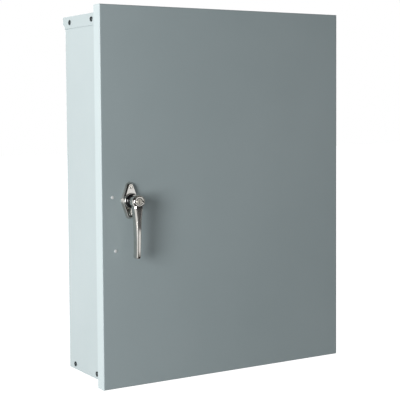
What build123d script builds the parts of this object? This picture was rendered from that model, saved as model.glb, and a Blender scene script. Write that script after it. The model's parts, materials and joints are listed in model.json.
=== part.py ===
"""AC disconnect box: a wall-hung sheet-steel cabinet with a hinged, key-locked door and a
three-pole moulded-case switch inside.

Frame: origin on the wall, at the centre of the four wall bolts. +X right, +Y into the wall,
+Z up, so every "standoff" below is a distance in front of the wall, at y = -standoff.
"""
from build123d import *
from math import cos, radians, sin, sqrt
import os

os.makedirs("parts", exist_ok=True)

# ------------------------------------------------------------------ driving dimensions (mm)
# Cabinet and door
sheet = 1.5                    # steel sheet of cabinet and door
bend_inner = 1.0               # inside radius of the sheet's bends
body_depth = 142.0             # back's outer face to the face of the front lips
air_gap = 6.0                  # the back stands off the wall on embossed feet
lip = 12.0                     # front lips, turned inwards
door_width = 508.0
door_height = 660.4
door_flange = 23.0             # depth of the door pan
door_lap = 3.5                 # door edge beyond the cabinet's side
door_overhang = 12.7           # door edge beyond the cabinet's top and bottom
door_bend = 1.6                # outer radius of the door pan's folded edges
gasket_thickness = 3.2
gasket_width = 10.0
gasket_corner = 6.0
closed_gap = 0.3               # unloaded gap between gasket and lips

# End cap, end wall and their screws
cap_flange = 21.2              # height of the top cap's side flanges
cap_overhang = 5.0             # the cap reaches this far behind the cabinet's back
cap_corner = 7.0               # radius of the flange's lower rear corner
cap_door_gap = 2.0             # from the cap's flange to the door's flange
cap_screw_standoff = 29.5      # rear screw of each pair
cap_screw_setback = 10.5       # front screw, behind the cap flange's front edge
cap_screw_drop = 10.7          # below the top
wall_screw_standoff = 32.0
wall_screw_setback = 10.0      # front screw, behind the door's flange
wall_screw_rise = 9.3          # above the bottom
sheet_fit = 0.2                # gap between a folded sheet and the sheet it slides into
sheet_screw_head = (4.6, 1.9)  # radius and height
sheet_screw_radius = 2.4
sheet_screw_length = 7.0
sheet_hole_clearance = 0.1
knockout_radii = (14.1, 22.3, 31.2)
knockout_slit = 0.8
knockout_tab = 5.0
knockout_pitch = 150.0

# Wall mounting
foot_inset_x = 24.5            # from the cabinet's sides, top and bottom to the bolts
foot_inset_z = 40.5
foot_radius = 13.0
foot_slope = 4.0               # the foot is this much wider where it leaves the back
wall_bolt_radius = 4.4

# Continuous hinge on the right
hinge_end = 32.5               # cabinet's top and bottom to the hinge's ends
knuckle_count = 15
knuckle_radius = 3.5
knuckle_gap = 0.4
knuckle_set_in = 0.1           # the knuckles' inner side lies this far inside the leaf's
hinge_pin_radius = 1.6
hinge_pin_clearance = 0.05
pin_head_rise = 1.0
pin_head_thickness = 1.2
leaf_thickness = 1.2
leaf_width = 24.0
door_leaf_width = 18.0
hinge_clearance = 0.5          # leaf edges and door flange to the knuckles
hinge_rivet_count = 5
hinge_rivet_end = 45.0         # hinge's end to its first rivet
rivet_radius = 1.6
rivet_head_radius = 3.0
rivet_head_height = 1.0
rivet_tail = (2.4, 1.2)        # radius and height

# Latch handle
handle_inset = 53.0            # handle axis from the door's left edge
handle_z = -4.7
escutcheon_width = 33.0
escutcheon_height = 64.0
escutcheon_tip_radius = 8.0
escutcheon_thickness = 8.0
escutcheon_round = 2.5
escutcheon_screw_head = (3.4, 1.5)
escutcheon_screw_radius = 2.0
escutcheon_nut = (7.0, 2.4)    # across flats, thickness
screw_hole_clearance = 0.2
escutcheon_screw_spacing = 46.0
collar_radius = 11.0
collar_height = 2.0
collar_round = 0.8
sleeve_radius = 12.4           # black bearing sleeve between the plate and the hub
sleeve_length = 13.0
sleeve_round = 1.5
neck_radius = 8.0
neck_start = 1.0               # the neck starts this far in front of the door
neck_hole_clearance = 1.0
neck_joint = 2.0               # the neck runs this far into the hub
running_clearance = 0.06
turn_gap = 0.3                 # between faces that turn on each other
hub_radius = 12.2
hub_round = 1.2
hub_front = 36.0               # hub face in front of the door
lever_length = 98.0            # axis to tip
lever_top = (16.6, 13.0)       # width and depth where it leaves the hub
lever_top_round = 3.5
lever_tip = (9.0, 13.0)
lever_tip_round = 2.6
lever_nose_round = 2.2
lever_top_front = 37.0         # lever face in front of the door, at the hub and at the tip
lever_tip_front = 34.5
lock_bore_radius = 9.0
lock_bore_depth = 11.5
lock_bezel_radius = 10.3
lock_bezel_height = 1.2
lock_bezel_round = 0.7
lock_floor = 3.0               # cylinder's bottom behind the plug
plug_radius = 5.5
plug_rise = 1.1                # in front of the hub's face
plug_chamfer = 0.4
keyway = (1.4, 7.0, 8.0)       # width, height, depth
spindle_side = 8.0
spindle_fit = 0.05
spindle_depth = 14.0           # spindle's front end in front of the door
spacer_radius = 9.5
spacer_washer = (13.0, 1.2)    # radius and thickness
spacer_clearance = 0.1
tongue_thickness = 2.8
tongue_reach = 42.0
tongue_root_radius = 11.0
tongue_tip_radius = 8.0
tongue_screw_radius = 2.5
tongue_screw_length = 12.0
tongue_screw_hole = 14.0
tongue_screw_head = (4.0, 3.5)
tongue_washer = (8.0, 1.6)
strike_thickness = 1.2
strike_height = 60.0
tongue_gap = 0.4               # tongue to strike
stiffener_thickness = 2.0
stiffener_width = 14.5
stiffener_gap = 1.0            # from the cabinet's lip
stiffener_end = 13.0           # beyond each rivet
plate_corner = 2.0             # corner radius of the stiffener and the strike
latch_rivets = ((20.4, 2.0), (25.6, -90.6))   # from the door's left edge, and height

# Mounting panel
panel_margin_x = 40.0          # from the cabinet's inner sides
panel_margin_z = 51.5          # from the cabinet's top and bottom
panel_corner = 4.0
panel_thickness = 1.9
panel_standoff = 12.5          # from the cabinet's back to the panel
panel_stud_inset = 14.0        # from the panel's edges
panel_hole_clearance = 0.4
stud_radius = 3.0
stud_length = 24.0
stud_collar_radius = 7.0
panel_nut_size = (10.0, 5.0)   # across flats, thickness

# Moulded-case switch
switch_z = 30.0
switch_height = 178.0
switch_corner = 3.0
base_depth = 34.0
cover_depth = 30.0
case_wall = 4.0
case_floor = 6.0
pole_pitch = 35.0
pocket_width = 26.0
pocket_length = 32.0
pocket_wall = 5.0
cover_face = 3.0
cover_round = 1.5
raised_face = (52.0, 62.0, 9.0)    # width, height, rise of the block round the toggle
raised_corner = 4.0
raised_wall = 3.0
raised_skin = 2.5
toggle_pivot_rise = 44.1       # in front of the panel
toggle_throw = 44.0
toggle_gap = 0.6               # shroud to the inside of the raised face
toggle_width = 30.0
toggle_reach = 50.0
toggle_blade = (16.0, 8.0)
toggle_web = 5.0
toggle_boss_wall = 4.0
toggle_tip_round = 1.5
shroud_thickness = 2.0
toggle_slot = (20.0, 36.0)
toggle_pin_radius = 2.0
toggle_shroud_angle = 140.0
frame_plate = 2.0
frame_gap = 1.5                # toggle to the frame's side plates
frame_span = (-12.0, 14.0)
frame_rise = 6.0               # side plates in front of the toggle's pin
pin_overhang = 1.0
strap_width = 12.0
strap_thickness = 3.0
strap_gap = 0.4                # strap to the sides of its groove
strap_depth_gap = 0.3
strap_end = 3.0                # case's end to the strap's end
strap_margin = 2.0             # strap beyond its contact
strap_arm_gap = 6.0            # load strap to the crossbar
contact_height = 2.0
contact_gap = 0.3
contact_size = 8.0
contact_corner = 1.0
contact_z = 28.0              # above the switch's centre
crossbar_radius = 6.0
crossbar_drop = 22.0           # below the switch's centre
crossbar_rise = 22.1           # in front of the panel
crossbar_end_gap = 0.5
trunnion_radius = 3.0
trunnion_length = 2.8
trunnion_end_gap = 0.2
arm_width = 9.0
arm_thickness = 5.0
arm_ring = 2.5                 # ring's wall round the crossbar
chute_plates = 6
chute_board = 1.5
chute_size = (20.0, 15.0, 30.0)    # width, length, height
chute_gap = 1.0                # chute to the case's end wall
chute_plate_thickness = 1.2
chute_plate_start = 6.0        # first plate above the floor
chute_plate_end = 2.0          # last plate below the top
chute_plate_setback = 1.0
trip_button_radius = 2.6
trip_button_flange = (1.6, 1.5)    # rise round the button, thickness
trip_button_rise = 2.2         # in front of the cover
trip_button_chamfer = 0.4
trip_inset = 14.5              # from the switch's right side
trip_drop = 38.0               # below the switch's centre
barrier_thickness = 1.6
barrier_length = 34.0
barrier_seat = 6.0             # depth of its groove in the case's end
barrier_side_gap = 0.4
barrier_end_gap = 0.3
cover_screw_head = (2.8, 1.5)
cover_screw_radius = 1.6
cover_screw_grip = 12.0        # into the base
cover_screw_end_gap = 1.0
cover_screw_offset = 6.0       # beyond the pockets' inner walls
mount_screw_head = (3.4, 2.2)
mount_screw_radius = 2.2
mount_screw_overrun = 2.5      # behind the panel
mount_screw_offset = 19.0      # beyond the pockets' inner walls
case_screw_clearance = 0.1
lug_size = (22.0, 22.0, 24.0)      # width, depth, length
lug_bore_radius = 7.5
lug_screw_radius = 4.5
lug_screw_rise = 1.6           # in front of the lug
lug_screw_end_gap = 0.1
lug_screw_socket = 2.6

# Bars and shield
neutral_inset = 74.0           # from the panel's left edge
neutral_bar_size = (20.0, 12.0, 190.0)     # width, depth, length
neutral_bores = 8
neutral_standoff = 22.0
insulator_radius = 9.0
insulator_bore = 10.0
ground_inset = 59.0            # from the panel's right edge
ground_rise = 116.0            # from its lower edge
ground_bar_size = (12.0, 10.0, 130.0)
ground_bores = 9
ground_standoff = 6.0
bar_bore_radius = 3.0
bar_bore_set_back = 0.4        # bores behind the bar's middle
bar_end = 20.0                 # bar's end to its first bore
bar_mount_end = 9.0            # bar's end to its mounting screw
bar_screw_radius = 2.4
bar_screw_head = (3.6, 2.0)
bar_screw_length = 3.0
neutral_mount_head = (4.6, 2.4)
neutral_mount_grip = 9.0       # into the insulator
ground_mount_head = (4.4, 2.4)
ground_mount_end_gap = 0.5
shield_size = (170.0, 76.0, 1.6)
shield_clearance = 8.0         # in front of the switch's cover
post_radius = 4.0
post_inset = 9.0               # from the shield's edges
post_bore = 10.0
shield_corner = 5.0
shield_lift = 3.0              # above the lugs' row
shield_screw_head = (4.2, 2.0)
shield_screw_grip = 8.0

# ------------------------------------------------------------------ derived places
body_width = door_width - 2 * door_lap
body_height = door_height - 2 * door_overhang
body_side = body_width / 2
body_top = body_height / 2
back_inside = air_gap + sheet
body_front = air_gap + body_depth
door_inside = body_front + closed_gap + gasket_thickness
door_front = door_inside + sheet
door_rear = door_front - door_flange
foot_spacing_x = body_width - 2 * foot_inset_x
foot_spacing_z = body_height - 2 * foot_inset_z
hinge_length = body_height - 2 * hinge_end
hinge_rivet_pitch = (hinge_length - 2 * hinge_rivet_end) / (hinge_rivet_count - 1)
hinge_x = body_side + leaf_thickness / 2 + knuckle_radius - knuckle_set_in
hinge_standoff = door_rear - knuckle_radius - hinge_clearance
handle_x = handle_inset - door_width / 2
collar_front = door_front + escutcheon_thickness + collar_height
sleeve_front = collar_front + sleeve_length
hub_face = door_front + hub_front
strike_face = body_front - sheet - strike_thickness
tongue_front = strike_face - tongue_gap
tongue_back = tongue_front - tongue_thickness
panel_width = body_width - 2 * sheet - 2 * panel_margin_x
panel_height = body_height - 2 * panel_margin_z
panel_stud_spacing = (panel_width - 2 * panel_stud_inset, panel_height - 2 * panel_stud_inset)
panel_back = back_inside + panel_standoff
panel_front = panel_back + panel_thickness
switch_width = 3 * pole_pitch
toggle_pivot_standoff = panel_front + toggle_pivot_rise
crossbar_standoff = panel_front + crossbar_rise
trip_place = (switch_width / 2 - trip_inset, -trip_drop)
neutral_x = neutral_inset - panel_width / 2
ground_x = panel_width / 2 - ground_inset
ground_z = ground_rise - panel_height / 2
base_front = panel_front + base_depth
cover_front = base_front + cover_depth
strap_back = panel_front + case_floor
contact_face = strap_back + strap_thickness + contact_height
shield_back = cover_front + shield_clearance

BASE = (Align.CENTER, Align.CENTER, Align.MIN)
TOP = (Align.CENTER, Align.CENTER, Align.MAX)
LEFT, RIGHT = -1, 1


def front_plane(standoff, x=0.0, z=0.0):
    """Plane that faces the user, standoff mm in front of the wall; its axes are X and Z."""
    return Plane(origin=(x, -standoff, z), x_dir=(1, 0, 0), z_dir=(0, -1, 0))


def side_plane(side, x, standoff, z):
    """Plane that faces outwards on the left or right of the cabinet."""
    return Plane(origin=(x, -standoff, z), x_dir=(0, 0, 1), z_dir=(side, 0, 0))


def pan_screw(head, shank_radius, length):
    """Pan-head screw with a cross recess: head (radius, height) above the origin, shank below."""
    head_radius, head_height = head
    recess = head_radius * 1.1
    with BuildPart() as screw:
        Cylinder(head_radius, head_height, align=BASE)
        fillet(screw.edges().sort_by(Axis.Z)[-1], head_height * 0.7)
        with Locations((0, 0, head_height)):
            Box(recess, recess * 0.22, head_height * 0.6, align=TOP, mode=Mode.SUBTRACT)
            Box(recess * 0.22, recess, head_height * 0.6, align=TOP, mode=Mode.SUBTRACT)
        Cylinder(shank_radius, length, align=TOP)
    return screw.part


def set_screw(radius, length, socket):
    """Headless screw with a hexagon socket in its upper end, which is at the origin."""
    with BuildPart() as screw:
        Cylinder(radius, length, align=TOP)
        with BuildSketch():
            RegularPolygon(socket, 6)
        extrude(amount=-length * 0.4, mode=Mode.SUBTRACT)
    return screw.part


def hex_nut(across_flats, thickness, bore_radius):
    """Hexagon nut that stands on the origin."""
    with BuildPart() as nut:
        with BuildSketch():
            RegularPolygon(across_flats / 2, 6, major_radius=False)
            Circle(bore_radius, mode=Mode.SUBTRACT)
        extrude(amount=thickness)
    return nut.part


def rivet(grip, tail_radius, tail_height):
    """Button-head rivet: head above the origin, shank through the grip, tail beyond it."""
    with BuildPart() as button:
        Cylinder(rivet_head_radius, rivet_head_height, align=BASE)
        fillet(button.edges().sort_by(Axis.Z)[-1], rivet_head_height * 0.8)
        Cylinder(rivet_radius, grip, align=TOP)
        if tail_height > 0:
            with Locations((0, 0, -grip)):
                Cylinder(tail_radius, tail_height, align=TOP)
    return button.part


# ================================================================== cabinet
cap_flange_front = door_rear - cap_door_gap
cap_screw_places = (cap_screw_standoff, cap_flange_front - cap_screw_setback)
wall_screw_places = (wall_screw_standoff, door_rear - wall_screw_setback)
cap_screw_z = body_top - cap_screw_drop
wall_screw_z = wall_screw_rise - body_top
sheet_hole_radius = sheet_screw_radius + sheet_hole_clearance
body_leaf_front = hinge_standoff - knuckle_radius - hinge_clearance
body_rivet_standoff = body_leaf_front - leaf_width / 2
door_rivet_standoff = door_rear + door_leaf_width / 2
hinge_rivet_places = [
    (i - (hinge_rivet_count - 1) / 2) * hinge_rivet_pitch for i in range(hinge_rivet_count)
]
rivet_hole_radius = rivet_radius + running_clearance

with BuildPart() as cabinet_wrap:
    with BuildSketch(Plane.XY.offset(-body_top)):
        with Locations((0, -air_gap - body_depth / 2)):
            RectangleRounded(body_width, body_depth, bend_inner + sheet)
            RectangleRounded(
                body_width - 2 * sheet, body_depth - 2 * sheet, bend_inner, mode=Mode.SUBTRACT
            )
        with Locations((0, -body_front)):
            Rectangle(body_width - 2 * lip, 4 * sheet, mode=Mode.SUBTRACT)
    extrude(amount=body_height - sheet)
    with Locations(front_plane(0)):
        with GridLocations(foot_spacing_x, foot_spacing_z, 2, 2):
            Cone(foot_radius, foot_radius + foot_slope, air_gap, align=BASE)
    with Locations(front_plane(sheet)):
        with GridLocations(foot_spacing_x, foot_spacing_z, 2, 2):
            Cone(
                foot_radius - sheet, foot_radius - sheet + foot_slope, air_gap,
                align=BASE, mode=Mode.SUBTRACT,
            )
            Hole(wall_bolt_radius, 2 * sheet)
    for side in (LEFT, RIGHT):
        for standoff in cap_screw_places:
            with Locations(side_plane(side, side * body_side, standoff, cap_screw_z)):
                Hole(sheet_hole_radius, 2 * sheet)
        for standoff in wall_screw_places:
            with Locations(side_plane(side, side * body_side, standoff, wall_screw_z)):
                Hole(sheet_hole_radius, 2 * sheet)
    for z in hinge_rivet_places:
        with Locations(side_plane(RIGHT, body_side, body_rivet_standoff, z)):
            Hole(rivet_hole_radius, 2 * sheet)
cabinet_wrap.part.label = "cabinet_wrap"
export_step(cabinet_wrap.part, "parts/cabinet_wrap.step")

# Top cap: it lies over the cabinet's top edge, its flanges outside the sides
cap_side = body_side + sheet
cap_back = air_gap - cap_overhang
cap_lip_half = body_side - lip - sheet_fit
with BuildPart() as top_end_cap:
    with BuildSketch(Plane.XY.offset(body_top - sheet)):
        with Locations((0, -(cap_back + cap_flange_front) / 2)):
            Rectangle(2 * cap_side, cap_flange_front - cap_back)
        with Locations((0, -(cap_back + body_front) / 2)):
            Rectangle(2 * body_side, body_front - cap_back)
    extrude(amount=sheet)
    with BuildSketch(side_plane(LEFT, -cap_side, cap_back, body_top)):
        # local x is up, local y is towards the front
        with Locations((-cap_flange / 2, -(cap_flange_front - cap_back) / 2)):
            Rectangle(cap_flange, cap_flange_front - cap_back)
    extrude(amount=-2 * cap_side)
    with BuildSketch(Plane.XY.offset(body_top - sheet)):
        with Locations((0, -(cap_back + sheet + body_front) / 2)):
            Rectangle(2 * body_side, body_front - cap_back - sheet)
    extrude(amount=-cap_flange, mode=Mode.SUBTRACT)
    with BuildSketch(front_plane(body_front)):
        with Locations((0, body_top - lip / 2)):
            Rectangle(2 * cap_lip_half, lip)
    extrude(amount=-sheet)
    lower_rear_corners = top_end_cap.edges().filter_by(Axis.X).group_by(Axis.Z)[0]
    chamfer(lower_rear_corners.sort_by(Axis.Y)[-1:], sheet * 0.6)
    for side in (LEFT, RIGHT):
        with Locations(side_plane(side, side * cap_side, cap_back, body_top - cap_flange)):
            Cylinder(cap_corner, 4 * sheet, mode=Mode.SUBTRACT)
        for standoff in cap_screw_places:
            with Locations(side_plane(side, side * cap_side, standoff, cap_screw_z)):
                Hole(sheet_hole_radius, 2 * sheet)
top_end_cap.part.label = "top_end_cap"
export_step(top_end_cap.part, "parts/top_end_cap.step")

# Bottom wall: a tray inside the cabinet's lower end
tray_side = body_side - sheet - sheet_fit
tray_back = back_inside + sheet_fit
tray_front = body_front - sheet - sheet_fit
with BuildPart() as bottom_end_wall:
    with BuildSketch(Plane.XY.offset(-body_top)):
        with Locations((0, -(tray_back + tray_front) / 2)):
            RectangleRounded(2 * tray_side, tray_front - tray_back, bend_inner + sheet)
    extrude(amount=cap_flange)
    with BuildSketch(Plane.XY.offset(-body_top + sheet)):
        with Locations((0, -(tray_back + tray_front) / 2 - sheet)):
            Rectangle(2 * (tray_side - sheet), tray_front - tray_back)
    extrude(amount=cap_flange, mode=Mode.SUBTRACT)
    with BuildSketch(Plane.XY.offset(-body_top)):
        with Locations((0, -(body_front + tray_front - sheet) / 2)):
            Rectangle(2 * cap_lip_half, body_front - tray_front + sheet)
    extrude(amount=sheet)
    with BuildSketch(front_plane(body_front)):
        with Locations((0, lip / 2 - body_top)):
            Rectangle(2 * cap_lip_half, lip)
    extrude(amount=-sheet)
    for i, radius in enumerate(knockout_radii):
        with BuildSketch(Plane.XY.offset(-body_top)):
            with Locations(((i - 1) * knockout_pitch, -(tray_back + tray_front) / 2)):
                Circle(radius)
                Circle(radius - knockout_slit, mode=Mode.SUBTRACT)
                Rectangle(2 * radius + 2, knockout_tab, mode=Mode.SUBTRACT)
        extrude(amount=sheet, mode=Mode.SUBTRACT)
    for side in (LEFT, RIGHT):
        for standoff in wall_screw_places:
            with Locations(side_plane(side, side * tray_side, standoff, wall_screw_z)):
                Hole(sheet_hole_radius, 2 * sheet)
bottom_end_wall.part.label = "bottom_end_wall"
export_step(bottom_end_wall.part, "parts/bottom_end_wall.step")

sheet_screw = pan_screw(sheet_screw_head, sheet_screw_radius, sheet_screw_length)
with BuildPart() as cap_screws:
    for side in (LEFT, RIGHT):
        for standoff in cap_screw_places:
            with Locations(side_plane(side, side * cap_side, standoff, cap_screw_z)):
                add(sheet_screw)
cap_screws.part.label = "cap_screws"
export_step(cap_screws.part, "parts/cap_screws.step")

with BuildPart() as bottom_wall_screws:
    for side in (LEFT, RIGHT):
        for standoff in wall_screw_places:
            with Locations(side_plane(side, side * body_side, standoff, wall_screw_z)):
                add(sheet_screw)
bottom_wall_screws.part.label = "bottom_wall_screws"
export_step(bottom_wall_screws.part, "parts/bottom_wall_screws.step")

# Strike plate welded behind the left lip, where the tongue bears
with BuildPart() as latch_strike:
    with BuildSketch(front_plane(strike_face)):
        with Locations(((-2 * body_side + lip + sheet + bend_inner) / 2, handle_z)):
            RectangleRounded(lip - sheet - bend_inner, strike_height, plate_corner)
    extrude(amount=strike_thickness)
latch_strike.part.label = "latch_strike"
export_step(latch_strike.part, "parts/latch_strike.step")

# ================================================================== continuous hinge
knuckle_pitch = hinge_length / knuckle_count
knuckle_length = knuckle_pitch - knuckle_gap
knuckle_centres = [(i - (knuckle_count - 1) / 2) * knuckle_pitch for i in range(knuckle_count)]
pin_bore_radius = hinge_pin_radius + hinge_pin_clearance


def hinge_leaf(leaf_left, leaf_edge, leaf_end, centres):
    """Leaf from leaf_edge to leaf_end (standoffs), with a knuckle at each of the centres."""
    with BuildPart() as leaf:
        with Locations((leaf_left + leaf_thickness / 2, -(leaf_edge + leaf_end) / 2, 0)):
            Box(leaf_thickness, abs(leaf_edge - leaf_end), hinge_length - knuckle_gap)
        for z in centres:
            with Locations((leaf_left + leaf_thickness / 2, -(hinge_standoff + leaf_edge) / 2, z)):
                Box(leaf_thickness, abs(hinge_standoff - leaf_edge), knuckle_length)
            with Locations((hinge_x, -hinge_standoff, z)):
                Cylinder(knuckle_radius, knuckle_length)
        with Locations((hinge_x, -hinge_standoff, 0)):
            Cylinder(pin_bore_radius, 2 * hinge_length, mode=Mode.SUBTRACT)
    return leaf.part


with BuildPart() as hinge_body_leaf:
    add(hinge_leaf(body_side, body_leaf_front, body_leaf_front - leaf_width, knuckle_centres[::2]))
    for z in hinge_rivet_places:
        with Locations(
            side_plane(RIGHT, body_side + leaf_thickness, body_rivet_standoff, z)
        ):
            Hole(rivet_hole_radius, 2 * leaf_thickness)
hinge_body_leaf.part.label = "hinge_body_leaf"
export_step(hinge_body_leaf.part, "parts/hinge_body_leaf.step")

door_leaf_left = door_width / 2 - sheet - leaf_thickness
with BuildPart() as hinge_door_leaf:
    add(hinge_leaf(door_leaf_left, door_rear, door_rear + door_leaf_width, knuckle_centres[1::2]))
    for z in hinge_rivet_places:
        with Locations(
            side_plane(RIGHT, door_leaf_left + leaf_thickness, door_rivet_standoff, z)
        ):
            Hole(rivet_hole_radius, 2 * leaf_thickness)
hinge_door_leaf.part.label = "hinge_door_leaf"
export_step(hinge_door_leaf.part, "parts/hinge_door_leaf.step")

with BuildPart() as hinge_pin:
    with Locations((hinge_x, -hinge_standoff, 0)):
        Cylinder(hinge_pin_radius, hinge_length)
    for end in (-1, 1):
        with Locations((hinge_x, -hinge_standoff, end * (hinge_length / 2 + knuckle_gap))):
            Cylinder(hinge_pin_radius + pin_head_rise, pin_head_thickness)
hinge_pin.part.label = "hinge_pin"
export_step(hinge_pin.part, "parts/hinge_pin.step")

body_rivet = rivet(leaf_thickness + sheet, *rivet_tail)
with BuildPart() as hinge_body_rivets:
    for z in hinge_rivet_places:
        with Locations(side_plane(RIGHT, body_side + leaf_thickness, body_rivet_standoff, z)):
            add(body_rivet)
hinge_body_rivets.part.label = "hinge_body_rivets"
export_step(hinge_body_rivets.part, "parts/hinge_body_rivets.step")

door_rivet = rivet(leaf_thickness + sheet, rivet_radius, 0)
with BuildPart() as hinge_door_rivets:
    for z in hinge_rivet_places:
        with Locations(side_plane(RIGHT, door_width / 2, door_rivet_standoff, z)):
            add(door_rivet)
hinge_door_rivets.part.label = "hinge_door_rivets"
export_step(hinge_door_rivets.part, "parts/hinge_door_rivets.step")

# ================================================================== door
escutcheon_screw_places = [(0, i * escutcheon_screw_spacing / 2) for i in (-1, 1)]
latch_rivet_places = [(inset - door_width / 2, z) for inset, z in latch_rivets]

with BuildPart() as door_panel:
    with BuildSketch(front_plane(door_rear)):
        Rectangle(door_width, door_height)
    extrude(amount=door_flange)
    fillet(door_panel.faces().sort_by(Axis.Y)[0].edges(), door_bend)
    with BuildSketch(front_plane(door_rear)):
        Rectangle(door_width - 2 * sheet, door_height - 2 * sheet)
    extrude(amount=door_flange - sheet, mode=Mode.SUBTRACT)
    with Locations(front_plane(door_front, handle_x, handle_z)):
        Hole(neck_radius + neck_hole_clearance, 2 * sheet)
        with Locations(*escutcheon_screw_places):
            Hole(escutcheon_screw_radius + screw_hole_clearance, 2 * sheet)
    with Locations(front_plane(door_front)):
        with Locations(*latch_rivet_places):
            Hole(rivet_hole_radius, 2 * sheet)
    for z in hinge_rivet_places:
        with Locations(side_plane(RIGHT, door_width / 2, door_rivet_standoff, z)):
            Hole(rivet_hole_radius, 2 * sheet)
door_panel.part.label = "door_panel"
export_step(door_panel.part, "parts/door_panel.step")

gasket_outer = (body_width - lip + gasket_width, body_height - lip + gasket_width)
with BuildPart() as door_gasket:
    with BuildSketch(front_plane(door_inside)):
        RectangleRounded(*gasket_outer, gasket_corner)
        Rectangle(
            gasket_outer[0] - 2 * gasket_width, gasket_outer[1] - 2 * gasket_width,
            mode=Mode.SUBTRACT,
        )
    extrude(amount=-gasket_thickness)
door_gasket.part.label = "door_gasket"
export_step(door_gasket.part, "parts/door_gasket.step")

# Flat bar riveted inside the latch edge, where the handle pulls
stiffener_left = lip + door_lap + stiffener_gap - door_width / 2
stiffener_top = latch_rivets[0][1] + stiffener_end
stiffener_bottom = latch_rivets[1][1] - stiffener_end
with BuildPart() as latch_stiffener:
    with BuildSketch(front_plane(door_inside)):
        with Locations(
            (stiffener_left + stiffener_width / 2, (stiffener_top + stiffener_bottom) / 2)
        ):
            RectangleRounded(stiffener_width, stiffener_top - stiffener_bottom, plate_corner)
        with Locations(*latch_rivet_places):
            Circle(rivet_hole_radius, mode=Mode.SUBTRACT)
    extrude(amount=-stiffener_thickness)
latch_stiffener.part.label = "latch_stiffener"
export_step(latch_stiffener.part, "parts/latch_stiffener.step")

latch_rivet = rivet(sheet + stiffener_thickness, *rivet_tail)
with BuildPart() as latch_rivets_pair:
    with Locations(front_plane(door_front)):
        with Locations(*latch_rivet_places):
            add(latch_rivet)
latch_rivets_pair.part.label = "latch_rivets"
export_step(latch_rivets_pair.part, "parts/latch_rivets.step")

# ================================================================== handle
neck_bore_radius = neck_radius + running_clearance
with BuildPart() as escutcheon:
    with BuildSketch(front_plane(door_front, handle_x, handle_z)):
        Circle(escutcheon_width / 2)
        with GridLocations(0, escutcheon_height - 2 * escutcheon_tip_radius, 1, 2):
            Circle(escutcheon_tip_radius)
        make_hull()
    extrude(amount=escutcheon_thickness)
    fillet(escutcheon.faces().sort_by(Axis.Y)[0].edges(), escutcheon_round)
    with Locations(front_plane(door_front, handle_x, handle_z)):
        Cylinder(collar_radius, escutcheon_thickness + collar_height, align=BASE)
    fillet(escutcheon.faces().sort_by(Axis.Y)[0].edges(), collar_round)
    with Locations(front_plane(collar_front, handle_x, handle_z)):
        Hole(neck_bore_radius, collar_height + 2 * escutcheon_thickness)
    with Locations(front_plane(door_front + escutcheon_thickness, handle_x, handle_z)):
        with Locations(*escutcheon_screw_places):
            Hole(escutcheon_screw_radius + screw_hole_clearance, 2 * escutcheon_thickness)
escutcheon.part.label = "escutcheon"
export_step(escutcheon.part, "parts/escutcheon.step")

escutcheon_screw = pan_screw(
    escutcheon_screw_head, escutcheon_screw_radius,
    escutcheon_thickness + sheet + escutcheon_nut[1],
)
with BuildPart() as escutcheon_screws:
    with Locations(front_plane(door_front + escutcheon_thickness, handle_x, handle_z)):
        with Locations(*escutcheon_screw_places):
            add(escutcheon_screw)
escutcheon_screws.part.label = "escutcheon_screws"
export_step(escutcheon_screws.part, "parts/escutcheon_screws.step")

plate_nut = hex_nut(*escutcheon_nut, escutcheon_screw_radius)
with BuildPart() as escutcheon_nuts:
    with Locations(front_plane(door_inside - escutcheon_nut[1], handle_x, handle_z)):
        with Locations(*escutcheon_screw_places):
            add(plate_nut)
escutcheon_nuts.part.label = "escutcheon_nuts"
export_step(escutcheon_nuts.part, "parts/escutcheon_nuts.step")

with BuildPart() as bearing_sleeve:
    with Locations(front_plane(collar_front, handle_x, handle_z)):
        Cylinder(sleeve_radius, sleeve_length, align=BASE)
    fillet(bearing_sleeve.faces().sort_by(Axis.Y)[0].edges(), sleeve_round)
    with Locations(front_plane(sleeve_front, handle_x, handle_z)):
        Hole(neck_bore_radius, sleeve_length)
bearing_sleeve.part.label = "bearing_sleeve"
export_step(bearing_sleeve.part, "parts/bearing_sleeve.step")

hub_back = sleeve_front + turn_gap
spindle_front = door_front + spindle_depth
lock_bore_floor = hub_face - lock_bore_depth
with BuildPart() as door_handle:
    with Locations(front_plane(door_front + neck_start, handle_x, handle_z)):
        Cylinder(neck_radius, hub_back - door_front - neck_start + neck_joint, align=BASE)
    with Locations(front_plane(hub_back, handle_x, handle_z)):
        Cylinder(hub_radius, hub_face - hub_back, align=BASE)
    fillet(door_handle.faces().sort_by(Axis.Y)[0].edges(), hub_round)
    with BuildSketch(Plane.XY.offset(handle_z)):
        with Locations((handle_x, -(door_front + lever_top_front - lever_top[1] / 2))):
            RectangleRounded(*lever_top, lever_top_round)
    with BuildSketch(Plane.XY.offset(handle_z - lever_length)):
        with Locations((handle_x, -(door_front + lever_tip_front - lever_tip[1] / 2))):
            RectangleRounded(*lever_tip, lever_tip_round)
    loft()
    lever_end = door_handle.faces().sort_by(Axis.Z)[0]
    fillet(lever_end.edges(), lever_nose_round)
    with Locations(front_plane(hub_face + lock_bezel_height, handle_x, handle_z)):
        Hole(lock_bore_radius, lock_bore_depth + lock_bezel_height)
    with Locations(front_plane(hub_face, handle_x, handle_z)):
        Cylinder(lock_bezel_radius + spindle_fit, hub_front, align=BASE, mode=Mode.SUBTRACT)
    with Locations(front_plane(door_front, handle_x, handle_z)):
        Box(
            spindle_side + 2 * spindle_fit, spindle_side + 2 * spindle_fit,
            spindle_front - door_front, align=BASE, mode=Mode.SUBTRACT,
        )
door_handle.part.label = "door_handle"
export_step(door_handle.part, "parts/door_handle.step")

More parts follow.
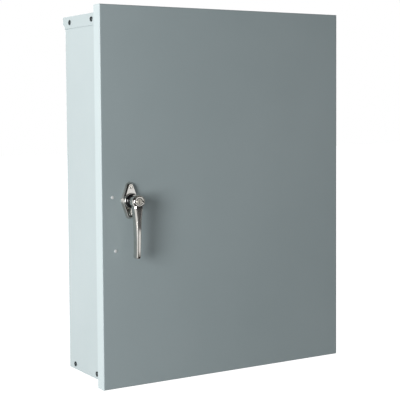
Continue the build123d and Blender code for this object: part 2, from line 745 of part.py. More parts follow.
plug_floor = lock_bore_floor + lock_floor
with BuildPart() as lock_cylinder:
    with Locations(front_plane(lock_bore_floor, handle_x, handle_z)):
        Cylinder(lock_bore_radius - spindle_fit, lock_bore_depth, align=BASE)
    with Locations(front_plane(hub_face, handle_x, handle_z)):
        Cylinder(lock_bezel_radius, lock_bezel_height, align=BASE)
    fillet(lock_cylinder.faces().sort_by(Axis.Y)[0].edges(), lock_bezel_round)
    with Locations(front_plane(hub_face + lock_bezel_height, handle_x, handle_z)):
        Hole(plug_radius + running_clearance, lock_bore_depth + lock_bezel_height - lock_floor)
lock_cylinder.part.label = "lock_cylinder"
export_step(lock_cylinder.part, "parts/lock_cylinder.step")

with BuildPart() as lock_plug:
    with Locations(front_plane(plug_floor + turn_gap, handle_x, handle_z)):
        Cylinder(plug_radius, hub_face + plug_rise - plug_floor - turn_gap, align=BASE)
    chamfer(lock_plug.faces().sort_by(Axis.Y)[0].edges(), plug_chamfer)
    with Locations(front_plane(hub_face + lock_bezel_height, handle_x, handle_z)):
        Box(*keyway, align=TOP, mode=Mode.SUBTRACT)
lock_plug.part.label = "lock_plug"
export_step(lock_plug.part, "parts/lock_plug.step")

with BuildPart() as handle_spindle:
    with Locations(front_plane(tongue_back, handle_x, handle_z)):
        Box(spindle_side, spindle_side, spindle_front - tongue_back, align=BASE)
        Cylinder(tongue_screw_radius, tongue_screw_hole, align=BASE, mode=Mode.SUBTRACT)
handle_spindle.part.label = "handle_spindle"
export_step(handle_spindle.part, "parts/handle_spindle.step")

spacer_bore_radius = spindle_side / sqrt(2) + spacer_clearance
spacer_washer_radius, spacer_washer_thickness = spacer_washer
with BuildPart() as spindle_spacer:
    with Locations(front_plane(tongue_front, handle_x, handle_z)):
        Cylinder(spacer_radius, door_inside - turn_gap - tongue_front, align=BASE)
    with Locations(front_plane(door_inside - turn_gap, handle_x, handle_z)):
        Cylinder(spacer_washer_radius, spacer_washer_thickness, align=TOP)
        Hole(spacer_bore_radius, door_inside)
spindle_spacer.part.label = "spindle_spacer"
export_step(spindle_spacer.part, "parts/spindle_spacer.step")

with BuildPart() as latch_tongue:
    with BuildSketch(front_plane(tongue_back, handle_x, handle_z)):
        Circle(tongue_root_radius)
        with Locations((tongue_tip_radius - tongue_reach, 0)):
            Circle(tongue_tip_radius)
        make_hull()
        Rectangle(
            spindle_side + 2 * spindle_fit, spindle_side + 2 * spindle_fit, mode=Mode.SUBTRACT
        )
    extrude(amount=tongue_thickness)
latch_tongue.part.label = "latch_tongue"
export_step(latch_tongue.part, "parts/latch_tongue.step")

tongue_washer_radius, tongue_washer_thickness = tongue_washer
tongue_head_radius, tongue_head_height = tongue_screw_head
with BuildPart() as tongue_screw:
    with Locations(front_plane(tongue_back, handle_x, handle_z)):
        Cylinder(tongue_screw_radius, tongue_screw_length, align=BASE)
        Cylinder(tongue_washer_radius, tongue_washer_thickness, align=TOP)
    with BuildSketch(front_plane(tongue_back - tongue_washer_thickness, handle_x, handle_z)):
        RegularPolygon(tongue_head_radius, 6, major_radius=False)
    extrude(amount=-tongue_head_height)
tongue_screw.part.label = "tongue_screw"
export_step(tongue_screw.part, "parts/tongue_screw.step")

# Places that the panel and the switch share
cavity_height = switch_height - 2 * pocket_length - 2 * pocket_wall
cavity_width = switch_width - 2 * case_wall
cover_screw_spacing = (pole_pitch, cavity_height + 2 * (pocket_wall + cover_screw_offset))
mount_screw_spacing = (pole_pitch, cavity_height + 2 * (pocket_wall + mount_screw_offset))
barrier_places = [(x, z) for x in (-pole_pitch / 2, pole_pitch / 2) for z in (-1, 1)]
barrier_slot = barrier_thickness + barrier_side_gap
barrier_slots = [(x, end * (switch_height - barrier_seat) / 2) for x, end in barrier_places]
crossbar_z = switch_z - crossbar_drop
trunnion_bore_radius = trunnion_radius + running_clearance
trunnion_seat = trunnion_length + trunnion_end_gap

# ================================================================== mounting panel
panel_hole_radius = stud_radius + panel_hole_clearance
with BuildPart() as mounting_panel:
    with BuildSketch(front_plane(panel_back)):
        RectangleRounded(panel_width, panel_height, panel_corner)
        with GridLocations(*panel_stud_spacing, 2, 2):
            Circle(panel_hole_radius, mode=Mode.SUBTRACT)
    extrude(amount=panel_thickness)
    with Locations(front_plane(panel_front, 0, switch_z)):
        with GridLocations(*mount_screw_spacing, 2, 2):
            Hole(mount_screw_radius, 2 * panel_thickness)
mounting_panel.part.label = "mounting_panel"
export_step(mounting_panel.part, "parts/mounting_panel.step")

with BuildPart() as panel_studs:
    with Locations(front_plane(back_inside)):
        with GridLocations(*panel_stud_spacing, 2, 2):
            Cylinder(stud_collar_radius, panel_standoff, align=BASE)
            Cylinder(stud_radius, stud_length, align=BASE)
panel_studs.part.label = "panel_studs"
export_step(panel_studs.part, "parts/panel_studs.step")

panel_nut = hex_nut(*panel_nut_size, stud_radius)
with BuildPart() as panel_nuts:
    with Locations(front_plane(panel_front)):
        with GridLocations(*panel_stud_spacing, 2, 2):
            add(panel_nut)
panel_nuts.part.label = "panel_nuts"
export_step(panel_nuts.part, "parts/panel_nuts.step")

# ================================================================== moulded-case switch
def pocket_grid():
    """The six terminal pockets, three at each end of the switch."""
    return GridLocations(pole_pitch, switch_height - pocket_length, 3, 2)


with BuildPart() as switch_base:
    with BuildSketch(front_plane(panel_front, 0, switch_z)):
        RectangleRounded(switch_width, switch_height, switch_corner)
        with Locations(*barrier_slots):
            Rectangle(barrier_slot, barrier_seat, mode=Mode.SUBTRACT)
    extrude(amount=base_depth)
    with BuildSketch(front_plane(strap_back, 0, switch_z)):
        Rectangle(cavity_width, cavity_height)
        with pocket_grid():
            Rectangle(pocket_width, pocket_length)
    extrude(amount=base_depth, mode=Mode.SUBTRACT)
    with BuildSketch(front_plane(strap_back, 0, switch_z)):
        with GridLocations(pole_pitch, 0, 3, 1):
            Rectangle(strap_width + strap_gap, switch_height - pocket_length)
    extrude(amount=strap_thickness + strap_depth_gap, mode=Mode.SUBTRACT)
    with Locations(front_plane(panel_front, 0, switch_z)):
        with GridLocations(*mount_screw_spacing, 2, 2):
            Cylinder(
                mount_screw_radius + case_screw_clearance, base_depth,
                align=BASE, mode=Mode.SUBTRACT,
            )
    with Locations(front_plane(base_front, 0, switch_z)):
        with GridLocations(*cover_screw_spacing, 2, 2):
            Hole(cover_screw_radius, cover_screw_grip)
    with Locations(front_plane(crossbar_standoff, 0, crossbar_z)):
        Box(
            cavity_width + 2 * trunnion_seat, 2 * trunnion_bore_radius,
            base_front - crossbar_standoff, align=BASE, mode=Mode.SUBTRACT,
        )
        Cylinder(
            trunnion_bore_radius, cavity_width + 2 * trunnion_seat,
            rotation=(0, 90, 0), mode=Mode.SUBTRACT,
        )
switch_base.part.label = "switch_base"
export_step(switch_base.part, "parts/switch_base.step")

raised_width, raised_height, raised_rise = raised_face
with BuildPart() as switch_cover:
    with BuildSketch(front_plane(base_front, 0, switch_z)):
        RectangleRounded(switch_width, switch_height, switch_corner)
        with Locations(*barrier_slots):
            Rectangle(barrier_slot, barrier_seat, mode=Mode.SUBTRACT)
    extrude(amount=cover_depth)
    with BuildSketch(front_plane(cover_front, 0, switch_z)):
        RectangleRounded(raised_width, raised_height, raised_corner)
    extrude(amount=raised_rise)
    fillet(switch_cover.faces().sort_by(Axis.Y)[0].edges(), cover_round)
    with BuildSketch(front_plane(base_front, 0, switch_z)):
        Rectangle(cavity_width, cavity_height)
    extrude(amount=cover_depth - cover_face, mode=Mode.SUBTRACT)
    with BuildSketch(front_plane(base_front, 0, switch_z)):
        Rectangle(raised_width - 2 * raised_wall, raised_height - 2 * raised_wall)
    extrude(amount=cover_depth + raised_rise - raised_skin, mode=Mode.SUBTRACT)
    with BuildSketch(front_plane(base_front, 0, switch_z)):
        with pocket_grid():
            Rectangle(pocket_width, pocket_length)
        Rectangle(*toggle_slot)
    extrude(amount=cover_depth + raised_rise, mode=Mode.SUBTRACT)
    with Locations(front_plane(base_front, 0, switch_z)):
        with GridLocations(*mount_screw_spacing, 2, 2):
            Cylinder(
                mount_screw_head[0] + screw_hole_clearance, cover_depth,
                align=BASE, mode=Mode.SUBTRACT,
            )
        with GridLocations(*cover_screw_spacing, 2, 2):
            Cylinder(
                cover_screw_radius + case_screw_clearance, cover_depth,
                align=BASE, mode=Mode.SUBTRACT,
            )
    with Locations(front_plane(cover_front, trip_place[0], switch_z + trip_place[1])):
        Hole(trip_button_radius + running_clearance, 2 * cover_face)
switch_cover.part.label = "switch_cover"
export_step(switch_cover.part, "parts/switch_cover.step")

cover_screw = pan_screw(
    cover_screw_head, cover_screw_radius, cover_depth + cover_screw_grip - cover_screw_end_gap
)
with BuildPart() as switch_cover_screws:
    with Locations(front_plane(cover_front, 0, switch_z)):
        with GridLocations(*cover_screw_spacing, 2, 2):
            add(cover_screw)
switch_cover_screws.part.label = "switch_cover_screws"
export_step(switch_cover_screws.part, "parts/switch_cover_screws.step")

mount_screw = pan_screw(
    mount_screw_head, mount_screw_radius, base_depth + panel_thickness + mount_screw_overrun
)
with BuildPart() as switch_mount_screws:
    with Locations(front_plane(base_front, 0, switch_z)):
        with GridLocations(*mount_screw_spacing, 2, 2):
            add(mount_screw)
switch_mount_screws.part.label = "switch_mount_screws"
export_step(switch_mount_screws.part, "parts/switch_mount_screws.step")

# Terminal straps lie on the base's floor; each line strap carries a fixed contact
strap_outer = switch_height / 2 - strap_end
line_strap_inner = contact_z - contact_size / 2 - strap_margin
load_strap_inner = crossbar_drop + crossbar_radius + strap_arm_gap
with BuildPart() as line_terminals:
    with BuildSketch(front_plane(strap_back, 0, switch_z)):
        with GridLocations(pole_pitch, 0, 3, 1):
            with Locations((0, (strap_outer + line_strap_inner) / 2)):
                Rectangle(strap_width, strap_outer - line_strap_inner)
    extrude(amount=strap_thickness)
    with BuildSketch(front_plane(strap_back, 0, switch_z)):
        with GridLocations(pole_pitch, 0, 3, 1):
            with Locations((0, contact_z)):
                RectangleRounded(contact_size, contact_size, contact_corner)
    extrude(amount=strap_thickness + contact_height)
line_terminals.part.label = "line_terminals"
export_step(line_terminals.part, "parts/line_terminals.step")

with BuildPart() as load_terminals:
    with BuildSketch(front_plane(strap_back, 0, switch_z)):
        with GridLocations(pole_pitch, 0, 3, 1):
            with Locations((0, -(strap_outer + load_strap_inner) / 2)):
                Rectangle(strap_width, strap_outer - load_strap_inner)
    extrude(amount=strap_thickness)
load_terminals.part.label = "load_terminals"
export_step(load_terminals.part, "parts/load_terminals.step")

lug_width, lug_depth, lug_length = lug_size
lug_back = strap_back + strap_thickness
lug_front = lug_back + lug_depth
lug_shift = (switch_height - pocket_length) / 2


def lug_row(end):
    """Three box lugs on the straps at the upper (+1) or lower (-1) end."""
    with BuildPart() as lugs:
        with Locations(front_plane(lug_back, 0, switch_z + end * lug_shift)):
            with GridLocations(pole_pitch, 0, 3, 1):
                Box(lug_width, lug_length, lug_depth, align=BASE)
                with Locations((0, 0, lug_depth / 2)):
                    Cylinder(lug_bore_radius, lug_length, rotation=(90, 0, 0), mode=Mode.SUBTRACT)
                with Locations((0, 0, lug_depth)):
                    Cylinder(lug_screw_radius, lug_depth / 2, align=TOP, mode=Mode.SUBTRACT)
    return lugs.part


with BuildPart() as line_lugs:
    add(lug_row(1))
line_lugs.part.label = "line_lugs"
export_step(line_lugs.part, "parts/line_lugs.step")

with BuildPart() as load_lugs:
    add(lug_row(-1))
load_lugs.part.label = "load_lugs"
export_step(load_lugs.part, "parts/load_lugs.step")

lug_screw_length = lug_depth / 2 - lug_bore_radius + lug_screw_rise - lug_screw_end_gap
lug_screw = set_screw(lug_screw_radius, lug_screw_length, lug_screw_socket)
with BuildPart() as lug_screws:
    with Locations(front_plane(lug_front + lug_screw_rise, 0, switch_z)):
        with GridLocations(pole_pitch, 2 * lug_shift, 3, 2):
            add(lug_screw)
lug_screws.part.label = "lug_screws"
export_step(lug_screws.part, "parts/lug_screws.step")

with BuildPart() as phase_barriers:
    for x, end in barrier_places:
        barrier_inner = switch_height / 2 - barrier_seat + barrier_end_gap
        barrier_z = switch_z + end * (barrier_inner + barrier_length / 2)
        with BuildSketch(front_plane(panel_front, x, barrier_z)):
            Rectangle(barrier_thickness, barrier_length)
        extrude(amount=base_depth + cover_depth)
phase_barriers.part.label = "phase_barriers"
export_step(phase_barriers.part, "parts/phase_barriers.step")

# Steel side plates that carry the toggle's pin
frame_inner = toggle_width / 2 + frame_gap
with BuildPart() as mechanism_frame:
    with BuildSketch(front_plane(strap_back, 0, switch_z)):
        with Locations((0, sum(frame_span) / 2)):
            Rectangle(2 * (frame_inner + frame_plate), frame_span[1] - frame_span[0])
    extrude(amount=toggle_pivot_standoff + frame_rise - strap_back)
    with BuildSketch(front_plane(strap_back + frame_plate, 0, switch_z)):
        Rectangle(2 * frame_inner, cavity_height)
    extrude(amount=cover_front, mode=Mode.SUBTRACT)
    with Locations(front_plane(toggle_pivot_standoff, 0, switch_z)):
        Cylinder(
            toggle_pin_radius, 4 * frame_inner, rotation=(0, 90, 0), mode=Mode.SUBTRACT
        )
mechanism_frame.part.label = "mechanism_frame"
export_step(mechanism_frame.part, "parts/mechanism_frame.step")

with BuildPart() as toggle_pin:
    with Locations(front_plane(toggle_pivot_standoff, 0, switch_z)):
        Cylinder(
            toggle_pin_radius, 2 * (frame_inner + frame_plate + pin_overhang), rotation=(0, 90, 0)
        )
toggle_pin.part.label = "toggle_pin"
export_step(toggle_pin.part, "parts/toggle_pin.step")

# The toggle rests in its upper, ON, place: local x runs along its blade
toggle_tilt = radians(toggle_throw / 2)
toggle_plane = Plane(
    origin=(0, -toggle_pivot_standoff, switch_z),
    x_dir=(0, -cos(toggle_tilt), sin(toggle_tilt)),
    z_dir=(1, 0, 0),
)
toggle_radius = cover_front + raised_rise - raised_skin - toggle_gap - toggle_pivot_standoff
shroud_inner = toggle_radius - shroud_thickness
with BuildPart() as switch_toggle:
    with BuildSketch(toggle_plane):
        with BuildLine():
            outer = CenterArc((0, 0), toggle_radius, -toggle_shroud_angle / 2, toggle_shroud_angle)
            inner = CenterArc((0, 0), shroud_inner, -toggle_shroud_angle / 2, toggle_shroud_angle)
            Line(outer @ 0, inner @ 0)
            Line(outer @ 1, inner @ 1)
        make_face()
    extrude(amount=toggle_width / 2, both=True)
    with BuildSketch(toggle_plane):
        Circle(toggle_pin_radius + toggle_boss_wall)
        with Locations(((shroud_inner + shroud_thickness / 2) / 2, 0)):
            Rectangle(shroud_inner + shroud_thickness / 2, toggle_web)
    extrude(amount=toggle_width / 4, both=True)
    with BuildSketch(toggle_plane):
        with Locations(((toggle_reach + shroud_inner) / 2, 0)):
            Rectangle(toggle_reach - shroud_inner, toggle_blade[1])
    extrude(amount=toggle_blade[0] / 2, both=True)
    tip = switch_toggle.faces().sort_by(Axis.Y)[0]
    fillet(tip.edges(), toggle_tip_round)
    with BuildSketch(toggle_plane):
        Circle(toggle_pin_radius + running_clearance)
    extrude(amount=toggle_width, both=True, mode=Mode.SUBTRACT)
switch_toggle.part.label = "switch_toggle"
export_step(switch_toggle.part, "parts/switch_toggle.step")

crossbar_plane = Plane(origin=(0, -crossbar_standoff, crossbar_z), x_dir=(0, 0, 1), z_dir=(1, 0, 0))
crossbar_length = cavity_width - 2 * crossbar_end_gap
with BuildPart() as contact_crossbar:
    with BuildSketch(crossbar_plane):
        Circle(crossbar_radius)
    extrude(amount=crossbar_length / 2, both=True)
    with BuildSketch(crossbar_plane):
        Circle(trunnion_radius)
    extrude(amount=cavity_width / 2 + trunnion_length, both=True)
contact_crossbar.part.label = "contact_crossbar"
export_step(contact_crossbar.part, "parts/contact_crossbar.step")

# Contact arms: a ring on the crossbar, a bar, and a contact over the fixed one (closed at rest)
arm_tip = crossbar_drop + contact_z + contact_size / 2
arm_back = contact_face + contact_gap + contact_height - crossbar_standoff
with BuildPart() as moving_contacts:
    for x in (-pole_pitch, 0, pole_pitch):
        pole_plane = crossbar_plane.offset(x)
        with BuildSketch(pole_plane):
            # local x is up, local y is away from the wall
            Circle(crossbar_radius + arm_ring)
            with Locations((arm_tip / 2, arm_back + arm_thickness / 2)):
                Rectangle(arm_tip, arm_thickness)
            with Locations((arm_tip - contact_size / 2, arm_back)):
                Rectangle(contact_size, 2 * contact_height)
            Circle(crossbar_radius, mode=Mode.SUBTRACT)
        extrude(amount=arm_width / 2, both=True)
moving_contacts.part.label = "moving_contacts"
export_step(moving_contacts.part, "parts/moving_contacts.step")

chute_width, chute_length, chute_height = chute_size
chute_z = switch_z + cavity_height / 2 - chute_length / 2 - chute_gap
chute_plate_pitch = (chute_height - chute_plate_start - chute_plate_end) / (chute_plates - 1)
with BuildPart() as arc_chutes:
    with BuildSketch(front_plane(strap_back, 0, chute_z)):
        with GridLocations(pole_pitch, 0, 3, 1):
            with GridLocations(chute_width - chute_board, 0, 2, 1):
                Rectangle(chute_board, chute_length)
    extrude(amount=chute_height)
    for i in range(chute_plates):
        plate_standoff = strap_back + chute_plate_start + i * chute_plate_pitch
        with BuildSketch(front_plane(plate_standoff, 0, chute_z)):
            with GridLocations(pole_pitch, 0, 3, 1):
                Rectangle(chute_width - 2 * chute_board, chute_length - chute_plate_setback)
        extrude(amount=chute_plate_thickness)
arc_chutes.part.label = "arc_chutes"
export_step(arc_chutes.part, "parts/arc_chutes.step")

trip_flange_front = cover_front - cover_face - turn_gap
flange_rise, flange_thickness = trip_button_flange
with BuildPart() as trip_button:
    with Locations(front_plane(trip_flange_front, trip_place[0], switch_z + trip_place[1])):
        Cylinder(trip_button_radius + flange_rise, flange_thickness, align=TOP)
        Cylinder(trip_button_radius, cover_face + turn_gap + trip_button_rise, align=BASE)
    chamfer(trip_button.faces().sort_by(Axis.Y)[0].edges(), trip_button_chamfer)
trip_button.part.label = "trip_button"
export_step(trip_button.part, "parts/trip_button.step")

# ================================================================== neutral and ground bars
bar_screw = pan_screw(bar_screw_head, bar_screw_radius, bar_screw_length)


def terminal_bar(x, z, standoff, size, bores):
    """Bar along Z with cross bores for the wires and a clamp-screw hole over each."""
    width, depth, length = size
    pitch = (length - 2 * bar_end) / (bores - 1)
    with BuildPart() as bar:
        with Locations(front_plane(standoff, x, z)):
            Box(width, length, depth, align=BASE)
            with GridLocations(0, pitch, 1, bores):
                with Locations((0, 0, depth / 2 - bar_bore_set_back)):
                    Cylinder(bar_bore_radius, width, rotation=(0, 90, 0), mode=Mode.SUBTRACT)
                with Locations((0, 0, depth)):
                    Cylinder(bar_screw_radius, depth / 2, align=TOP, mode=Mode.SUBTRACT)
            with GridLocations(0, length - 2 * bar_mount_end, 1, 2):
                Cylinder(bar_screw_radius, depth, align=BASE, mode=Mode.SUBTRACT)
    return bar.part, pitch


neutral_back = panel_front + neutral_standoff
neutral_front = neutral_back + neutral_bar_size[1]
neutral_shape, neutral_pitch = terminal_bar(
    neutral_x, switch_z, neutral_back, neutral_bar_size, neutral_bores
)
with BuildPart() as neutral_bar:
    add(neutral_shape)
neutral_bar.part.label = "neutral_bar"
export_step(neutral_bar.part, "parts/neutral_bar.step")

neutral_end_spacing = neutral_bar_size[2] - 2 * bar_mount_end
with BuildPart() as neutral_insulators:
    with Locations(front_plane(panel_front, neutral_x, switch_z)):
        with GridLocations(0, neutral_end_spacing, 1, 2):
            Cylinder(insulator_radius, neutral_standoff, align=BASE)
            with Locations((0, 0, neutral_standoff)):
                Cylinder(bar_screw_radius, insulator_bore, align=TOP, mode=Mode.SUBTRACT)
neutral_insulators.part.label = "neutral_insulators"
export_step(neutral_insulators.part, "parts/neutral_insulators.step")

neutral_mount_screw = pan_screw(
    neutral_mount_head, bar_screw_radius, neutral_bar_size[1] + neutral_mount_grip
)
with BuildPart() as neutral_bar_screws:
    with Locations(front_plane(neutral_front, neutral_x, switch_z)):
        with GridLocations(0, neutral_pitch, 1, neutral_bores):
            add(bar_screw)
        with GridLocations(0, neutral_end_spacing, 1, 2):
            add(neutral_mount_screw)
neutral_bar_screws.part.label = "neutral_bar_screws"
export_step(neutral_bar_screws.part, "parts/neutral_bar_screws.step")

ground_back = panel_front + ground_standoff
ground_front = ground_back + ground_bar_size[1]
ground_shape, ground_pitch = terminal_bar(
    ground_x, ground_z, ground_back, ground_bar_size, ground_bores
)
ground_end_spacing = ground_bar_size[2] - 2 * bar_mount_end
with BuildPart() as ground_bar:
    add(ground_shape)
    with Locations(front_plane(panel_front, ground_x, ground_z)):
        with GridLocations(0, ground_end_spacing, 1, 2):
            Box(ground_bar_size[0], ground_bar_size[0], ground_standoff, align=BASE)
            Cylinder(bar_screw_radius, ground_standoff, align=BASE, mode=Mode.SUBTRACT)
ground_bar.part.label = "ground_bar"
export_step(ground_bar.part, "parts/ground_bar.step")

ground_mount_screw = pan_screw(
    ground_mount_head, bar_screw_radius,
    ground_bar_size[1] + ground_standoff - ground_mount_end_gap,
)
with BuildPart() as ground_bar_screws:
    with Locations(front_plane(ground_front, ground_x, ground_z)):
        with GridLocations(0, ground_pitch, 1, ground_bores):
            add(bar_screw)
        with GridLocations(0, ground_end_spacing, 1, 2):
            add(ground_mount_screw)
ground_bar_screws.part.label = "ground_bar_screws"
export_step(ground_bar_screws.part, "parts/ground_bar_screws.step")

# ================================================================== clear shield over the line lugs
shield_width, shield_height, shield_thickness = shield_size
shield_z = switch_z + lug_shift + shield_lift
post_spacing = (shield_width - 2 * post_inset, shield_height - 2 * post_inset)
with BuildPart() as line_shield:
    with BuildSketch(front_plane(shield_back, 0, shield_z)):
        RectangleRounded(shield_width, shield_height, shield_corner)
        with GridLocations(*post_spacing, 2, 2):
            Circle(bar_screw_radius + screw_hole_clearance, mode=Mode.SUBTRACT)
    extrude(amount=shield_thickness)
line_shield.part.label = "line_shield"
export_step(line_shield.part, "parts/line_shield.step")

with BuildPart() as shield_posts:
    with BuildSketch(front_plane(panel_front, 0, shield_z)):
        with GridLocations(*post_spacing, 2, 2):
            RegularPolygon(post_radius, 6)
    extrude(amount=shield_back - panel_front)
    with Locations(front_plane(shield_back, 0, shield_z)):
        with GridLocations(*post_spacing, 2, 2):
            Hole(bar_screw_radius, post_bore)
shield_posts.part.label = "shield_posts"
export_step(shield_posts.part, "parts/shield_posts.step")

shield_screw = pan_screw(
    shield_screw_head, bar_screw_radius, shield_thickness + shield_screw_grip
)
with BuildPart() as shield_screws:
    with Locations(front_plane(shield_back + shield_thickness, 0, shield_z)):
        with GridLocations(*post_spacing, 2, 2):
            add(shield_screw)
shield_screws.part.label = "shield_screws"
export_step(shield_screws.part, "parts/shield_screws.step")
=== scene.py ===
"""AC disconnect box: looks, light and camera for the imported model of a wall-hung steel cabinet."""
import json
import math
import bmesh
import bpy
import numpy as np
from mathutils import Matrix, Vector


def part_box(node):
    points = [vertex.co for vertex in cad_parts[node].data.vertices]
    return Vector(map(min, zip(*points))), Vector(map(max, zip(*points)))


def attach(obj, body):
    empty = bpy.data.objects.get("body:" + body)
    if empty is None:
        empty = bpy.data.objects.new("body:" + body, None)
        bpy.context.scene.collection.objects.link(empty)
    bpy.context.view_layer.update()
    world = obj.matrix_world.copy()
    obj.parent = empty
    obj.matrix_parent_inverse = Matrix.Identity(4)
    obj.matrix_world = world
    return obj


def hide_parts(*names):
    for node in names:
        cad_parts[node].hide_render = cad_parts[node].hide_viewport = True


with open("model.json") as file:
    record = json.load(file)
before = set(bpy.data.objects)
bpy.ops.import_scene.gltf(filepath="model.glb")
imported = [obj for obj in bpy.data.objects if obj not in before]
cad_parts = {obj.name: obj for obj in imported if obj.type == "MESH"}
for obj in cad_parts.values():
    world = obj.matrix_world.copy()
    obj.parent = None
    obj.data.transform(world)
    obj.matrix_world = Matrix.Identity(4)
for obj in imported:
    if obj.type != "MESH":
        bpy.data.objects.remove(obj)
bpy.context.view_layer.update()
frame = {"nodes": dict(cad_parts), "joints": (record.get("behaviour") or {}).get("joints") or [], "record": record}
MM = 0.001

# ------------------------------------------------------------------ places read from the frame
door_low, door_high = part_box("door_panel")
plate_low, plate_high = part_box("escutcheon")
handle_low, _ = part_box("door_handle")
lock_low, lock_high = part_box("lock_cylinder")
plug_low, plug_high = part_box("lock_plug")
sleeve_low, sleeve_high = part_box("bearing_sleeve")
joint_places = {joint["name"]: joint.get("pos_m") for joint in frame["joints"]}
handle_x, _, handle_z = joint_places["handle_turn"]
door_front = -door_low.y               # how far the door's face stands off the wall
plate_front = (-plate_low.y - door_front) / MM         # heights above the door's face, in mm
sleeve_front = (-sleeve_low.y - door_front) / MM
lock_front = (-lock_low.y - door_front) / MM
sheet = 1.5 * MM                       # thickness of the door's steel
neck_bore = 8.1                        # radius in mm of the hole that the handle's neck runs in


# ------------------------------------------------------------------ small tools
def linear(hex_colour):
    """sRGB hex value as linear red, green, blue and alpha."""
    channels = [int(hex_colour[i:i + 2], 16) / 255 for i in (1, 3, 5)]
    return [c / 12.92 if c <= 0.04045 else ((c + 0.055) / 1.055) ** 2.4 for c in channels] + [1.0]


def per_mm(size):
    """Scale of a noise or Voronoi node whose features are size millimetres across."""
    return 1.0 / (size * MM)


def node(tree, kind, values=None, links=None, **settings):
    """Adds a node, sets its attributes and input values, and links outputs to its inputs."""
    made = tree.nodes.new(kind)
    for name, value in settings.items():
        setattr(made, name, value)
    for socket, value in (values or {}).items():
        made.inputs[socket].default_value = value
    for socket, output in (links or {}).items():
        tree.links.new(output, made.inputs[socket])
    return made


def start_material(name):
    """An empty node material with a shader, an output and Object coordinates."""
    material = bpy.data.materials.new(name)
    material.use_nodes = True
    tree = material.node_tree
    tree.nodes.clear()
    shader = node(tree, "ShaderNodeBsdfPrincipled")
    node(tree, "ShaderNodeOutputMaterial", links={"Surface": shader.outputs["BSDF"]})
    place = node(tree, "ShaderNodeTexCoord").outputs["Object"]
    return material, tree, shader, place


def dress(tree, shader, colour, roughness, normal):
    """Links a finish's colour, roughness and bump to its shader."""
    tree.links.new(colour, shader.inputs["Base Color"])
    tree.links.new(roughness, shader.inputs["Roughness"])
    tree.links.new(normal, shader.inputs["Normal"])


def quad_numbers(rows, columns, wrap_rows, wrap_columns):
    """Vertex numbers of the quads of a rows x columns grid, closed round where it wraps."""
    i = np.arange(rows if wrap_rows else rows - 1)
    j = np.arange(columns if wrap_columns else columns - 1)
    i, j = np.meshgrid(i, j, indexing="ij")
    below, above = i * columns, ((i + 1) % rows) * columns
    after = (j + 1) % columns
    return np.stack([below + j, below + after, above + after, above + j], axis=-1).reshape(-1, 4)


def sharpen_borders(mesh):
    """Marks the open borders of a sheet as sharp, so its faces stay evenly shaded to the edge."""
    uses = np.zeros(len(mesh.loops), dtype=np.int32)
    mesh.loops.foreach_get("edge_index", uses)
    sharp = mesh.attributes.get("sharp_edge") or mesh.attributes.new("sharp_edge", "BOOLEAN", "EDGE")
    values = np.zeros(len(mesh.edges), dtype=bool)
    sharp.data.foreach_get("value", values)
    values |= np.bincount(uses, minlength=len(mesh.edges)) == 1
    sharp.data.foreach_set("value", values)


def build(name, grids, body, material, stands_for=(), smooth=32.0):
    """One object from grids of points, each (points, wraps in rows, wraps in columns)."""
    vertices, faces, count = [], [], 0
    for points, wrap_rows, wrap_columns in grids:
        rows, columns = points.shape[:2]
        faces.append(quad_numbers(rows, columns, wrap_rows, wrap_columns) + count)
        vertices.append(points.reshape(-1, 3))
        count += rows * columns
    mesh = bpy.data.meshes.new(name)
    mesh.from_pydata(np.concatenate(vertices).tolist(), [], np.concatenate(faces).tolist())
    work = bmesh.new()
    work.from_mesh(mesh)
    bmesh.ops.remove_doubles(work, verts=work.verts, dist=0.002 * MM)
    bmesh.ops.dissolve_degenerate(work, edges=work.edges, dist=0.001 * MM)
    bmesh.ops.recalc_face_normals(work, faces=work.faces)
    work.to_mesh(mesh)
    work.free()
    mesh.shade_smooth()
    mesh.set_sharp_from_angle(angle=math.radians(smooth))
    sharpen_borders(mesh)
    piece = bpy.data.objects.new(name, mesh)
    bpy.context.scene.collection.objects.link(piece)
    mesh.materials.append(material)
    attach(piece, body)
    if stands_for:
        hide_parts(*stands_for)
    return piece


def facing_door(x, z, standoff):
    """A function that turns right, up and out in mm into places in metres, from a point that
    stands off the wall."""
    def place(right, up, out):
        return np.stack(
            [x + right * MM, -(standoff + out * MM) + 0 * right, z + up * MM], axis=-1
        )
    return place


def facing_side(side, x, standoff, z):
    """The same for a piece on the cabinet's left (-1) or right (+1) side, out from that side."""
    def place(right, up, out):
        return np.stack(
            [x + side * out * MM, -standoff + side * right * MM, z + up * MM + 0 * out], axis=-1
        )
    return place


def round_corners(points, radii, steps=6):
    """The open line with each inner corner replaced by a curve that leaves one side and joins
    the next at the corner's radius: (1-t)^2 a + 2t(1-t) corner + t^2 b."""
    points = np.asarray(points, float)
    t = np.linspace(0, 1, steps)[:, None]
    pieces = [points[:1]]
    for before, corner, after, radius in zip(points, points[1:], points[2:], radii):
        a = corner + (before - corner) * min(0.5, radius / np.linalg.norm(before - corner))
        b = corner + (after - corner) * min(0.5, radius / np.linalg.norm(after - corner))
        pieces.append((1 - t) ** 2 * a + 2 * t * (1 - t) * corner + t ** 2 * b)
    return np.concatenate(pieces + [points[-1:]])


def turned(profile, place, count=64):
    """Surface of revolution: each (radius, out) of the profile goes round the axis."""
    angle = np.linspace(0, 2 * np.pi, count, endpoint=False)
    radius, out = profile[:, 0, None], profile[:, 1, None]
    points = place(radius * np.cos(angle), radius * np.sin(angle), out + 0 * angle)
    return points, False, True


def hull_outline(centres, radii, inset, count=96):
    """Outline round some circles: for each outward direction, the point of the circle that
    reaches furthest that way, moved inwards by the inset."""
    angle = np.linspace(0, 2 * np.pi, count, endpoint=False)
    normal = np.stack([np.cos(angle), np.sin(angle)], axis=-1)
    centres, radii = np.asarray(centres, float), np.asarray(radii, float)
    furthest = (normal @ centres.T + radii).argmax(axis=1)
    return centres[furthest] + (radii[furthest] - inset)[:, None] * normal


